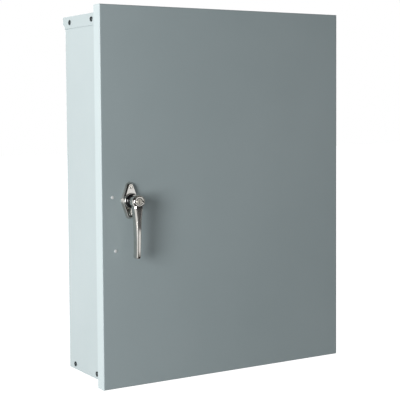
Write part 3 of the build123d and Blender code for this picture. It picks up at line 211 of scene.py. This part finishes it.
# ------------------------------------------------------------------ materials
def powder_coat(name, colour, shade, gloss):
    """Polyester powder coat on sheet steel, sprayed and baked: semi-gloss, with orange peel, a
    faint cloudiness, and fine dust that dulls it in places. The real orange peel is 1 to 2 mm
    across, drawn here at 4 mm so that it shows."""
    cloud_mm, speck_mm, dust_mm, peel_mm = 260, 2.2, 45, 4
    material, tree, shader, place = start_material(name)
    cloud = node(
        tree, "ShaderNodeTexNoise", {"Scale": per_mm(cloud_mm), "Detail": 3.0}, {"Vector": place}
    )
    speck = node(
        tree, "ShaderNodeTexNoise", {"Scale": per_mm(speck_mm), "Detail": 2.0}, {"Vector": place}
    )
    both = node(
        tree, "ShaderNodeMath", {1: 0.3}, {0: speck.outputs["Fac"], 2: cloud.outputs["Fac"]},
        operation="MULTIPLY_ADD",
    )
    tint = node(tree, "ShaderNodeValToRGB", links={"Fac": both.outputs[0]})
    tint.color_ramp.elements[0].position, tint.color_ramp.elements[0].color = 0.35, linear(shade)
    tint.color_ramp.elements[1].position, tint.color_ramp.elements[1].color = 0.95, linear(colour)
    dust = node(
        tree, "ShaderNodeTexNoise", {"Scale": per_mm(dust_mm), "Detail": 5.0}, {"Vector": place}
    )
    dull = node(
        tree, "ShaderNodeMapRange",
        {"From Min": 0.35, "From Max": 0.7, "To Min": gloss, "To Max": gloss + 0.1},
        {"Value": dust.outputs["Fac"]},
    )
    peel = node(
        tree, "ShaderNodeTexNoise", {"Scale": per_mm(peel_mm), "Detail": 1.5}, {"Vector": place}
    )
    bump = node(
        tree, "ShaderNodeBump", {"Strength": 0.12, "Distance": 0.12 * MM},
        {"Height": peel.outputs["Fac"]},
    )
    dress(tree, shader, tint.outputs["Color"], dull.outputs["Result"], bump.outputs["Normal"])
    shader.inputs["Specular IOR Level"].default_value = 0.45
    return material


def bare_metal(name, colour, shade, rough, grain=(9.0, 0.7), polish=0.1, wave=0.0):
    """Bare or plated metal: two tones of one colour, fine scratches stretched along one way, and
    roughness that varies where it was handled. grain is the scratches' length and width in mm,
    polish how much duller the scratches are, and wave how strongly a casting's skin swells."""
    blotch_mm, swell_mm = 11, 7
    scratch_length, scratch_width = grain
    material, tree, shader, place = start_material(name)
    blotch = node(
        tree, "ShaderNodeTexNoise", {"Scale": per_mm(blotch_mm), "Detail": 3.0}, {"Vector": place}
    )
    tint = node(tree, "ShaderNodeValToRGB", links={"Fac": blotch.outputs["Fac"]})
    tint.color_ramp.elements[0].position, tint.color_ramp.elements[0].color = 0.3, linear(shade)
    tint.color_ramp.elements[1].position, tint.color_ramp.elements[1].color = 0.7, linear(colour)
    stretch = node(
        tree, "ShaderNodeMapping", {"Scale": (1.0, 1.0, scratch_width / scratch_length)},
        {"Vector": place},
    )
    scratch = node(
        tree, "ShaderNodeTexNoise", {"Scale": per_mm(scratch_width), "Detail": 4.0},
        {"Vector": stretch.outputs["Vector"]},
    )
    worn = node(
        tree, "ShaderNodeMapRange", {"To Min": rough, "To Max": rough + polish},
        {"Value": scratch.outputs["Fac"]},
    )
    swell = node(
        tree, "ShaderNodeTexNoise", {"Scale": per_mm(swell_mm), "Detail": 1.0}, {"Vector": place}
    )
    height = node(
        tree, "ShaderNodeMath", {1: wave}, {0: swell.outputs["Fac"], 2: scratch.outputs["Fac"]},
        operation="MULTIPLY_ADD",
    )
    bump = node(
        tree, "ShaderNodeBump", {"Strength": 0.25 * rough + 0.02, "Distance": 0.05 * MM},
        {"Height": height.outputs[0]},
    )
    dress(tree, shader, tint.outputs["Color"], worn.outputs["Result"], bump.outputs["Normal"])
    shader.inputs["Metallic"].default_value = 1.0
    return material


def moulded(name, colour, shade, rough, texture=0.8, depth=0.05, ior=1.5):
    """Moulded or foamed plastic: near-even colour, and the mould's spark texture or the foam's
    cells as bump. texture is the cells' size and depth their height, in mm."""
    drift_mm = 30
    material, tree, shader, place = start_material(name)
    drift = node(
        tree, "ShaderNodeTexNoise", {"Scale": per_mm(drift_mm), "Detail": 4.0}, {"Vector": place}
    )
    tint = node(tree, "ShaderNodeValToRGB", links={"Fac": drift.outputs["Fac"]})
    tint.color_ramp.elements[0].position, tint.color_ramp.elements[0].color = 0.3, linear(shade)
    tint.color_ramp.elements[1].position, tint.color_ramp.elements[1].color = 0.7, linear(colour)
    cells = node(tree, "ShaderNodeTexVoronoi", {"Scale": per_mm(texture)}, {"Vector": place})
    uneven = node(
        tree, "ShaderNodeMapRange", {"To Min": rough - 0.04, "To Max": rough + 0.06},
        {"Value": drift.outputs["Fac"]},
    )
    bump = node(
        tree, "ShaderNodeBump", {"Strength": 0.35, "Distance": depth * MM},
        {"Height": cells.outputs["Distance"]},
    )
    dress(tree, shader, tint.outputs["Color"], uneven.outputs["Result"], bump.outputs["Normal"])
    shader.inputs["IOR"].default_value = ior
    return material


def clear_polycarbonate(name):
    """Extruded clear polycarbonate sheet: see-through, glossy, with faint handling marks."""
    mark_mm = 14
    material, tree, shader, place = start_material(name)
    marks = node(
        tree, "ShaderNodeTexNoise", {"Scale": per_mm(mark_mm), "Detail": 6.0}, {"Vector": place}
    )
    hazy = node(
        tree, "ShaderNodeMapRange",
        {"From Min": 0.5, "From Max": 0.8, "To Min": 0.03, "To Max": 0.16},
        {"Value": marks.outputs["Fac"]},
    )
    tree.links.new(hazy.outputs["Result"], shader.inputs["Roughness"])
    shader.inputs["Base Color"].default_value = linear("#EEF4F5")
    shader.inputs["Transmission Weight"].default_value = 1.0
    shader.inputs["IOR"].default_value = 1.585
    return material


finishes = {
    # one grey paint in two copies: the cabinet's is painted darker, painted shade against the strong light on its
    # side, and the door's is painted lighter, painted light against the shade on its face
    "cabinet_paint": powder_coat("grey_powder_coat_cabinet_painted_shade", "#AAB8BB", "#A3B1B4", gloss=0.36),
    "door_paint": powder_coat("grey_powder_coat_door_painted_light", "#B7C5C8", "#AFBEC1", gloss=0.34),
    "zinc_steel": bare_metal("zinc_plated_steel", "#C9CDCE", "#A9A79A", 0.32, polish=0.18),
    "chrome": bare_metal(
        "chromed_die_casting", "#E2E0DC", "#D5D2CB", 0.05, grain=(14.0, 2.0), polish=0.05, wave=2.0
    ),
    "gasket_foam": moulded("black_neoprene_foam", "#1D1E1F", "#141415", 0.85, texture=0.9, depth=0.25),
    "panel_paint": powder_coat("white_enamel_panel", "#E9E9E4", "#E0E1DC", gloss=0.3),
    "black_bmc": moulded(
        "black_thermoset", "#232426", "#1B1C1E", 0.5, texture=0.7, depth=0.04, ior=1.55
    ),
    "copper": bare_metal("bare_copper", "#C98763", "#A8684A", 0.28, polish=0.2),
    "lug_aluminium": bare_metal("tin_plated_aluminium", "#C6C8C6", "#AFB1AE", 0.34, polish=0.16),
    "neutral_plastic": moulded(
        "white_nylon", "#DEDBCF", "#D3CFC0", 0.42, texture=1.2, depth=0.03, ior=1.53
    ),
    "clear_sheet": clear_polycarbonate("clear_polycarbonate"),
    "fibre": moulded("red_vulcanised_fibre", "#7E3A2A", "#6C2E20", 0.6, texture=1.5),
    "barrier_sheet": moulded("grey_barrier_sheet", "#4B4D50", "#424447", 0.5, texture=1.0, depth=0.03),
    "trip_red": moulded("red_nylon", "#B6271C", "#A01F16", 0.38, texture=1.2, depth=0.02, ior=1.53),
    # near-black sleeve: painted shade, standing for the deep shade and dark reflection round the handle's neck
    "black_nylon": moulded(
        "black_nylon", "#0C0D0E", "#08090A", 0.13, texture=1.6, depth=0.004, ior=1.53
    ),
    "black_zinc": bare_metal("black_zinc_plated_steel", "#5C6466", "#3F4547", 0.42, polish=0.12),
    "lock_nickel": bare_metal("nickel_plated_brass", "#DEDBD2", "#C9C5B9", 0.3, polish=0.12),
}
# near-white paint on the rivet heads: a painted glint that stands for the highlight on the domed heads, as cloudy
# and grainy as sprayed paint
rivet_glint_paint = powder_coat("rivet_painted_glint_coat", "#FBFDFD", "#F0F4F5", 0.3)
for part in frame["record"]["subparts"]:
    slots = frame["nodes"][part["node"]].material_slots
    for i in range(len(slots)):
        slots[i].material = finishes[part["material_slot"]]


# ------------------------------------------------------------------ door pan
def door_sheet():
    """The door as one folded sheet. A line across it runs along the flange, round the bend and
    over the face; a point of the grid takes x from one such line, z from another and the larger
    of their two depths. The face dishes inwards by a few tenths, as thin sheet does: the dish is
    a half plus two sines of x and z, faded out towards the edges as distance squared."""
    bend, beside = 1.8 * MM, 0.5 * MM      # outer radius of the fold, and flat sheet next to it
    dish, fade, flat_rim = 0.35 * MM, 70 * MM, 0.3         # flat_rim is a share of fade
    swell = 0.25
    waves = ((9.0, 3.0, 0.0), (-4.0, 7.0, 1.0))    # radians per metre along x and z, and phase
    columns, rows = 90, 116
    flange = door_high.y - door_low.y
    turn = np.linspace(0, np.pi / 2, 6)

    def across(low, high, count):
        """Places along one direction, and how far each lies behind the face."""
        inner = np.linspace(low + bend + beside, high - bend - beside, count)
        start = np.concatenate([[low, low], low + bend - bend * np.cos(turn)])
        depth = np.concatenate([[flange, bend + beside], bend - bend * np.sin(turn)])
        end = low + high - start[::-1]
        return (
            np.concatenate([start, inner, end]),
            np.concatenate([depth, 0 * inner, depth[::-1]]),
        )

    x, x_depth = across(door_low.x, door_high.x, columns)
    z, z_depth = across(door_low.z, door_high.z, rows)
    x, z = np.meshgrid(x, z)
    depth = np.maximum(*np.meshgrid(x_depth, z_depth))
    edge = np.minimum(
        np.minimum(x - door_low.x, door_high.x - x), np.minimum(z - door_low.z, door_high.z - z)
    )
    fade_in = np.clip(edge / fade - flat_rim, 0, 1) ** 2
    wave = 0.5 + sum(swell * np.sin(x * along_x + z * along_z + phase) for along_x, along_z, phase in waves)
    points = np.stack([x, door_low.y + depth + dish * fade_in * wave, z], axis=-1)
    # the door takes the lighter copy of the grey: painted light against the shade on its face
    piece = build(
        "door_sheet", [(points, False, False)], "door", finishes["door_paint"], ["door_panel"]
    )
    solid = piece.modifiers.new("thickness", "SOLIDIFY")
    solid.thickness = sheet
    solid.offset = -1.0


door_sheet()


# ------------------------------------------------------------------ handle, lock and escutcheon
at_handle = facing_door(handle_x, handle_z, door_front)


def escutcheon_casting():
    """Boat-shaped plate with sloping sides and a crowned face, and a low collar. The plate is
    rings of one outline, each inset and raised along a curve. The face rises by crown * (1 -
    fall_up * (up / half height)^2 - fall_right * (right / half width)^2), and the sloping side
    takes its share of that as height squared."""
    half_height = (plate_high.z - plate_low.z) / 2 / MM
    half_width = (plate_high.x - plate_low.x) / 2 / MM
    tip, thickness = 8.0, 5.2
    crown, fall_up, fall_right = 2.8, 0.85, 0.5
    collar_radius, collar_edge = 13.6, 0.8
    centres = [(0, 0), (0, half_height - tip), (0, tip - half_height)]
    side = round_corners(
        [(0, 0), (0, 1.2), (2.2, thickness - 0.8), (3.4, thickness), (4.6, thickness)],
        [0.5, 2.2, 1.4], steps=7,
    )
    rings = [hull_outline(centres, [half_width, tip, tip], inset) for inset in side[:, 0]]
    inner = [rings[-1] * share for share in (0.85, 0.7, 0.55, 0.4, 0.2, 0.0)]
    rings = np.array([rings[0] * 0.0] + rings + inner)
    heights = np.concatenate([[0], side[:, 1], np.full(len(inner), thickness)])
    face = np.clip(heights / thickness, 0, 1)[:, None] ** 2
    right, up = rings[..., 0], rings[..., 1]
    bow = 1 - fall_up * (up / half_height) ** 2 - fall_right * (right / half_width) ** 2
    points = at_handle(right, up, heights[:, None] + crown * face * bow)
    collar = round_corners(
        [(collar_radius, thickness - 1.2), (collar_radius, plate_front - collar_edge),
         (collar_radius - collar_edge, plate_front), (neck_bore, plate_front),
         (neck_bore, thickness - 1.0)],
        [collar_edge, collar_edge, 0.2], steps=7,
    )
    piece = build(
        "escutcheon_casting", [(points, False, True), turned(collar, at_handle, count=72)],
        "door", finishes["chrome"], ["escutcheon"],
    )


def bearing_sleeve():
    """Sleeve that the handle's neck runs in, turned, with a wide bevelled shoulder at the plate. Its near-black
    colour is painted shade, standing for the deep shade and dark reflection between plate and hub.
    """
    shoulder, bevel, lip = 3.0, 2.6, 0.4
    back, front = plate_front, sleeve_front
    widest = (sleeve_high.x - sleeve_low.x) / 2 / MM
    barrel = widest - bevel
    line = round_corners(
        [(neck_bore, back), (widest, back), (widest, back + shoulder),
         (barrel, back + shoulder + bevel), (barrel, front - 0.5), (barrel - lip, front),
         (neck_bore, front), (neck_bore, back)],
        [0.4, 1.0, 1.2, 0.3, 0.3, 0.2],
    )
    piece = build(
        "sleeve_moulding", [turned(line, at_handle, count=72)], "door", finishes["black_nylon"],
        ["bearing_sleeve"],
    )


def lever_surface(reach, front):
    """The lever as rings from the hub's axis to its tip, each a rectangle with bevelled front
    corners; every corner is a curve, corner + (1-t)^2 before + t^2 after. Towards the hub the
    width grows and the depth shrinks a little, both as exp(-distance), and both close at the
    blunt nose along a quarter ellipse. The face is straight at first and then bows back as
    distance squared. reach is the lever's length and front the hub's face, in mm."""
    slim, widening, widening_start, widening_length = 7.4, 9.6, 12.0, 26.0
    thin, thickening, thickening_length = 13.0, 1.6, 7.0
    proud, bow, bow_start = 0.8, 8.6, 0.45
    nose, bevel_limit, bevel_share, edge_radius = 2.8, 2.8, 0.24, 1.1
    nose_turn = np.linspace(0.1, np.pi / 2, 12)
    down = np.concatenate([
        np.linspace(0, reach - nose, 60), reach - nose + nose * np.sin(nose_turn)
    ])
    along = down / reach
    close = np.sqrt(np.clip(1 - (np.clip(down - reach + nose, 0, None) / nose) ** 2, 0, 1))
    shrink = np.where(close > 0, 1.0, 0.0)
    flare = np.exp(-np.clip(down - widening_start, 0, None) / widening_length)
    width = (slim + widening * flare) * (0.55 + 0.45 * close) * shrink
    near_hub = np.exp(-np.clip(down - thickening_length, 0, None) / thickening_length)
    full_depth = thin + thickening * (1 - near_hub)
    depth = full_depth * (0.7 + 0.3 * close) * shrink
    face = front + proud - bow * np.clip(along - bow_start, 0, None) ** 2 - 0.3 * (1 - close)
    back_face = face - full_depth + (full_depth - depth) / 2
    bevel = np.minimum(bevel_limit, bevel_share * width)
    half = width / 2
    corners = np.stack([
        np.stack([-half, 0 * half], axis=-1), np.stack([half, 0 * half], axis=-1),
        np.stack([half, depth - bevel], axis=-1), np.stack([half - bevel, depth], axis=-1),
        np.stack([bevel - half, depth], axis=-1), np.stack([-half, depth - bevel], axis=-1),
    ], axis=1)
    sides = [np.roll(corners, step, axis=1) - corners for step in (1, -1)]
    lengths = [np.linalg.norm(side, axis=-1, keepdims=True) + 1e-9 for side in sides]
    before, after = (
        side / length * np.minimum(edge_radius, 0.42 * length)
        for side, length in zip(sides, lengths)
    )
    t = np.linspace(0, 1, 6)[:, None]
    section = (
        corners[:, :, None] + (1 - t) ** 2 * before[:, :, None] + t ** 2 * after[:, :, None]
    ).reshape(len(down), -1, 2)
    right, raised = section[..., 0], section[..., 1]
    rings = at_handle(right, -down[:, None] + 0 * right, back_face[:, None] + raised)
    middle = 0 * right[:1]
    lid = at_handle(middle, middle, back_face[0] + depth[0] / 2 + middle)
    return np.concatenate([lid, rings])


def handle_casting():
    """Hub and lever. The hub is turned, with a domed face and a recess for the lock's bezel."""
    hub, neck, bezel = 12.2, 8.0, 10.3     # radii in mm
    foot, recess = 1.5, 1.0
    back = sleeve_front + 0.3
    front = lock_front - 1.2
    hub_line = round_corners(
        [(0, foot), (neck, foot), (neck, back), (hub - 0.6, back), (hub, front - 2.6),
         (bezel + 0.2, front), (bezel, front - 0.1), (bezel, front - recess), (0, front - recess)],
        [0.4, 0.3, 1.0, 2.0, 0.4, 0.1, 0.1],
    )
    lever = lever_surface((handle_z - handle_low.z) / MM, front)
    piece = build(
        "handle_casting", [turned(hub_line, at_handle, count=80), (lever, False, True)],
        "handle", finishes["chrome"], ["door_handle"], smooth=40.0,
    )


def lock_bezel():
    """Turned bezel ring, gently domed round the key plug and closed behind it."""
    clearance, well, rim = 0.25, 5.0, 1.9
    front = lock_front
    plug = (plug_high.x - plug_low.x) / 2 / MM + clearance
    edge = (lock_high.x - lock_low.x) / 2 / MM
    line = round_corners(
        [(0, front - well), (plug, front - well), (plug, front - 0.4), (plug + 1.0, front),
         (edge - 1.2, front - 0.35), (edge, front - rim), (0, front - well - 1.2)],
        [0.2, 0.3, 0.6, 1.0, 0.2],
    )
    piece = build(
        "lock_bezel", [turned(line, at_handle)], "handle", finishes["chrome"], ["lock_cylinder"]
    )


def cross_head(radius, height, place, count=40):
    """Pan screw head: out = height * ((1 - r^4)^(1/2) - recess), where the recess is a cross
    that fades over a narrow edge, with r and the cross measured in head radii."""
    r = np.concatenate([[0], np.linspace(0.06, 1, 16)])[:, None]
    angle = np.linspace(0, 2 * np.pi, count, endpoint=False)
    x, y = r * np.cos(angle), r * np.sin(angle)
    arm, arm_edge, length, end_edge, recess = 0.13, 0.06, 0.6, 0.08, 0.55
    nearest = np.minimum(np.abs(x), np.abs(y))
    sunk = np.clip((arm - nearest) / arm_edge, 0, 1) * np.clip((length - r) / end_edge, 0, 1)
    out = height * (np.sqrt(np.clip(1 - r ** 4, 0, 1)) - recess * sunk)
    skirt_x, skirt_y = np.stack([x[-1], 0 * x[-1]]), np.stack([y[-1], 0 * y[-1]])
    points = place(
        np.concatenate([x, skirt_x]) * radius, np.concatenate([y, skirt_y]) * radius,
        np.concatenate([out, 0 * skirt_x]),
    )
    return points, False, True


def button_head(radius, height, place, count=32):
    """Domed rivet head: out = height * (1 - r^2)^(1/2)."""
    bow = np.linspace(0, np.pi / 2, 8)
    line = np.stack([radius * np.sin(bow), height * np.cos(bow)], axis=-1)
    return turned(np.concatenate([line, [[0, 0]]]), place, count)


def islands(name):
    """Lowest and highest corners of each separate solid of a CAD node."""
    work = bmesh.new()
    work.from_mesh(frame["nodes"][name].data)
    bmesh.ops.remove_doubles(work, verts=work.verts, dist=0.001 * MM)
    left = set(work.verts)
    boxes = []
    while left:
        stack = [left.pop()]
        members = []
        while stack:
            vertex = stack.pop()
            members.append(vertex.co.copy())
            near = {edge.other_vert(vertex) for edge in vertex.link_edges} & left
            left -= near
            stack.extend(near)
        points = np.array(members)
        boxes.append((points.min(axis=0), points.max(axis=0)))
    work.free()
    return sorted(boxes, key=lambda box: tuple(np.round(box[0], 5)))


def door_heads(name, node_name, radius, height, finish, shape, base, look=None):
    """Heads of one CAD node's fasteners, on a surface base mm in front of the door's face. They
    keep the node's slot, and look, where given, is the finish that shows."""
    grids = []
    for low, high in islands(node_name):
        middle = (low + high) / 2
        place = facing_door(middle[0], middle[2], door_front + base * MM)
        grids.append(shape(radius, height, place))
    piece = build(name, grids, "door", look or finishes[finish], [node_name], smooth=50.0)


def side_heads(name, node_name, head_height):
    """Pan heads of the screws in the cabinet's two sides, in the place of their CAD node."""
    grids = []
    for low, high in islands(node_name):
        middle = (low + high) / 2
        side = math.copysign(1, middle[0])
        face = (high[0] if side > 0 else -low[0]) - head_height * MM
        place = facing_side(side, side * face, -middle[1], middle[2])
        grids.append(cross_head((high[2] - low[2]) / 2 / MM, head_height, place))
    piece = build(name, grids, "cabinet", finishes["black_zinc"], [node_name], smooth=50.0)


escutcheon_casting()
bearing_sleeve()
handle_casting()
lock_bezel()
pan_head = 1.9                         # height in mm of the heads on the sides
door_heads(
    "escutcheon_screw_heads", "escutcheon_screws", radius=2.9, height=0.6, finish="chrome",
    shape=cross_head, base=6.7,
)
# the rivet heads show the near-white painted glint instead of their zinc
door_heads(
    "latch_rivet_heads", "latch_rivets", radius=3.0, height=1.0, finish="zinc_steel",
    shape=button_head, base=0.0, look=rivet_glint_paint,
)
side_heads("cap_screw_heads", "cap_screws", pan_head)
side_heads("bottom_wall_screw_heads", "bottom_wall_screws", pan_head)


# ------------------------------------------------------------------ camera
def camera():
    """The view from the left front, a little above the box's middle."""
    place = (-1.0567, -1.7810, 0.1571)
    yaw, pitch, roll = 0.550373, 0.058066, -0.007034       # radians: right, down and tilt
    ahead = Vector((math.sin(yaw) * math.cos(pitch), math.cos(yaw) * math.cos(pitch), -math.sin(pitch)))
    level = Vector((math.cos(yaw), -math.sin(yaw), 0.0))
    above = level.cross(ahead)
    right = math.cos(roll) * level + math.sin(roll) * above
    up = -math.sin(roll) * level + math.cos(roll) * above
    data = bpy.data.cameras.new("camera")
    data.sensor_width = 36.0
    data.lens = 96.12
    data.shift_y = -0.08
    eye = bpy.data.objects.new("camera", data)
    bpy.context.scene.collection.objects.link(eye)
    turn = Matrix((right, up, -ahead)).transposed().to_4x4()
    eye.matrix_world = Matrix.Translation(place) @ turn
    bpy.context.scene.camera = eye


def softbox(name, place, target, size, power, colour="#FFFFFF", shows_in_metal=True):
    """Rectangular area light that faces its target; polished metal may be kept from showing it."""
    data = bpy.data.lights.new(name, "AREA")
    data.shape = "RECTANGLE"
    data.size, data.size_y = size
    data.energy = power
    data.color = linear(colour)[:3]
    lamp = bpy.data.objects.new(name, data)
    lamp.location = place
    lamp.rotation_euler = (Vector(target) - Vector(place)).to_track_quat("-Z", "Y").to_euler()
    lamp.visible_glossy = shows_in_metal
    bpy.context.scene.collection.objects.link(lamp)


def band(tree, value, low, high, soft=0.02):
    """1 where value lies between low and high, with soft edges."""
    rise = node(
        tree, "ShaderNodeMapRange", {"From Min": low - soft, "From Max": low + soft},
        {"Value": value}, interpolation_type="SMOOTHSTEP",
    )
    fall = node(
        tree, "ShaderNodeMapRange",
        {"From Min": high - soft, "From Max": high + soft, "To Min": 1.0, "To Max": 0.0},
        {"Value": value}, interpolation_type="SMOOTHSTEP",
    )
    return node(
        tree, "ShaderNodeMath", links={0: rise.outputs[0], 1: fall.outputs[0]}, operation="MULTIPLY"
    ).outputs[0]


def combined(tree, operation, *values):
    """The values joined one after another by the same operation."""
    result = values[0]
    for value in values[1:]:
        result = node(
            tree, "ShaderNodeMath", links={0: result, 1: value}, operation=operation
        ).outputs[0]
    return result


def studio():
    """White surroundings for the camera, a soft grey room for the paint, brighter to the left,
    and for polished metal a dark room with a white wall behind and white cards in front and to
    the left. A ray's direction has a part across to the right, a part ahead into the wall and a
    part above, and each card is where these lie between two values."""
    world = bpy.data.worlds.new("studio")
    bpy.context.scene.world = world
    world.use_nodes = True
    tree = world.node_tree
    tree.nodes.clear()
    way = node(tree, "ShaderNodeTexCoord").outputs["Generated"]
    split = node(tree, "ShaderNodeSeparateXYZ", links={"Vector": way})
    across, ahead, above = split.outputs
    ambient_left, ambient_right = 0.42, 0.02
    dark, bright = 0.03, 0.9
    soft = node(
        tree, "ShaderNodeMapRange",
        {"From Min": -0.9, "From Max": 0.9, "To Min": ambient_left, "To Max": ambient_right},
        {"Value": across},
    )
    room = node(tree, "ShaderNodeBackground", links={"Strength": soft.outputs["Result"]})
    in_front, behind = band(tree, ahead, -2.0, 0.0, 0.05), band(tree, ahead, 0.0, 2.0, 0.05)
    to_right, to_left = band(tree, across, 0.1, 0.85, 0.06), band(tree, across, -2.0, -0.62, 0.06)
    upper_card = combined(tree, "MULTIPLY", in_front, to_right, band(tree, above, -0.035, 0.5))
    lower_card = combined(tree, "MULTIPLY", in_front, to_right, band(tree, above, -0.28, -0.13))
    left_card = combined(tree, "MULTIPLY", in_front, to_left, band(tree, above, -0.4, 0.12))
    back_wall = combined(tree, "MULTIPLY", behind, band(tree, above, -2.0, 0.36, 0.05))
    brightest = combined(tree, "MAXIMUM", upper_card, lower_card, left_card, back_wall)
    level = node(
        tree, "ShaderNodeMapRange", {"To Min": dark, "To Max": bright}, {"Value": brightest}
    ).outputs[0]
    mirror = node(tree, "ShaderNodeBackground", links={"Strength": level})
    white = node(tree, "ShaderNodeBackground", {"Strength": 1.0})
    for background in (room, mirror, white):
        background.inputs["Color"].default_value = linear("#FFFFFF")
    ray = node(tree, "ShaderNodeLightPath")
    lit = node(
        tree, "ShaderNodeMixShader",
        links={0: ray.outputs["Is Glossy Ray"], 1: room.outputs[0], 2: mirror.outputs[0]},
    )
    mix = node(
        tree, "ShaderNodeMixShader",
        links={0: ray.outputs["Is Camera Ray"], 1: lit.outputs[0], 2: white.outputs[0]},
    )
    node(tree, "ShaderNodeOutputWorld", links={"Surface": mix.outputs[0]})


def floor():
    """Plain pale floor, well below the box; it fades into the white surroundings."""
    size, level = 60.0, -1.4
    bpy.ops.mesh.primitive_plane_add(size=size, location=(0, 0, level))
    ground = bpy.context.object
    ground.name = "floor"
    material, tree, shader, _ = start_material("pale_floor")
    ray = node(tree, "ShaderNodeLightPath")
    tree.links.new(ray.outputs["Is Camera Ray"], shader.inputs["Emission Strength"])
    shader.inputs["Base Color"].default_value = linear("#C9CCCC")
    shader.inputs["Roughness"].default_value = 0.9
    shader.inputs["Specular IOR Level"].default_value = 0.1
    shader.inputs["Emission Color"].default_value = linear("#FFFFFF")
    ground.data.materials.append(material)
    ground.visible_glossy = False


camera()
studio()
floor()
softbox(
    "key_softbox", place=(-1.75, -1.06, 0.12), target=(-0.15, -0.15, 0.0), size=(0.65, 0.8),
    power=19.4,
)
softbox(
    "side_softbox", place=(-2.3, 0.35, 0.5), target=(-0.25, 0.0, 0.05), size=(0.7, 1.7),
    power=46.0, colour="#FFF6F2", shows_in_metal=False,
)
bpy.context.scene.view_settings.view_transform = "Standard"
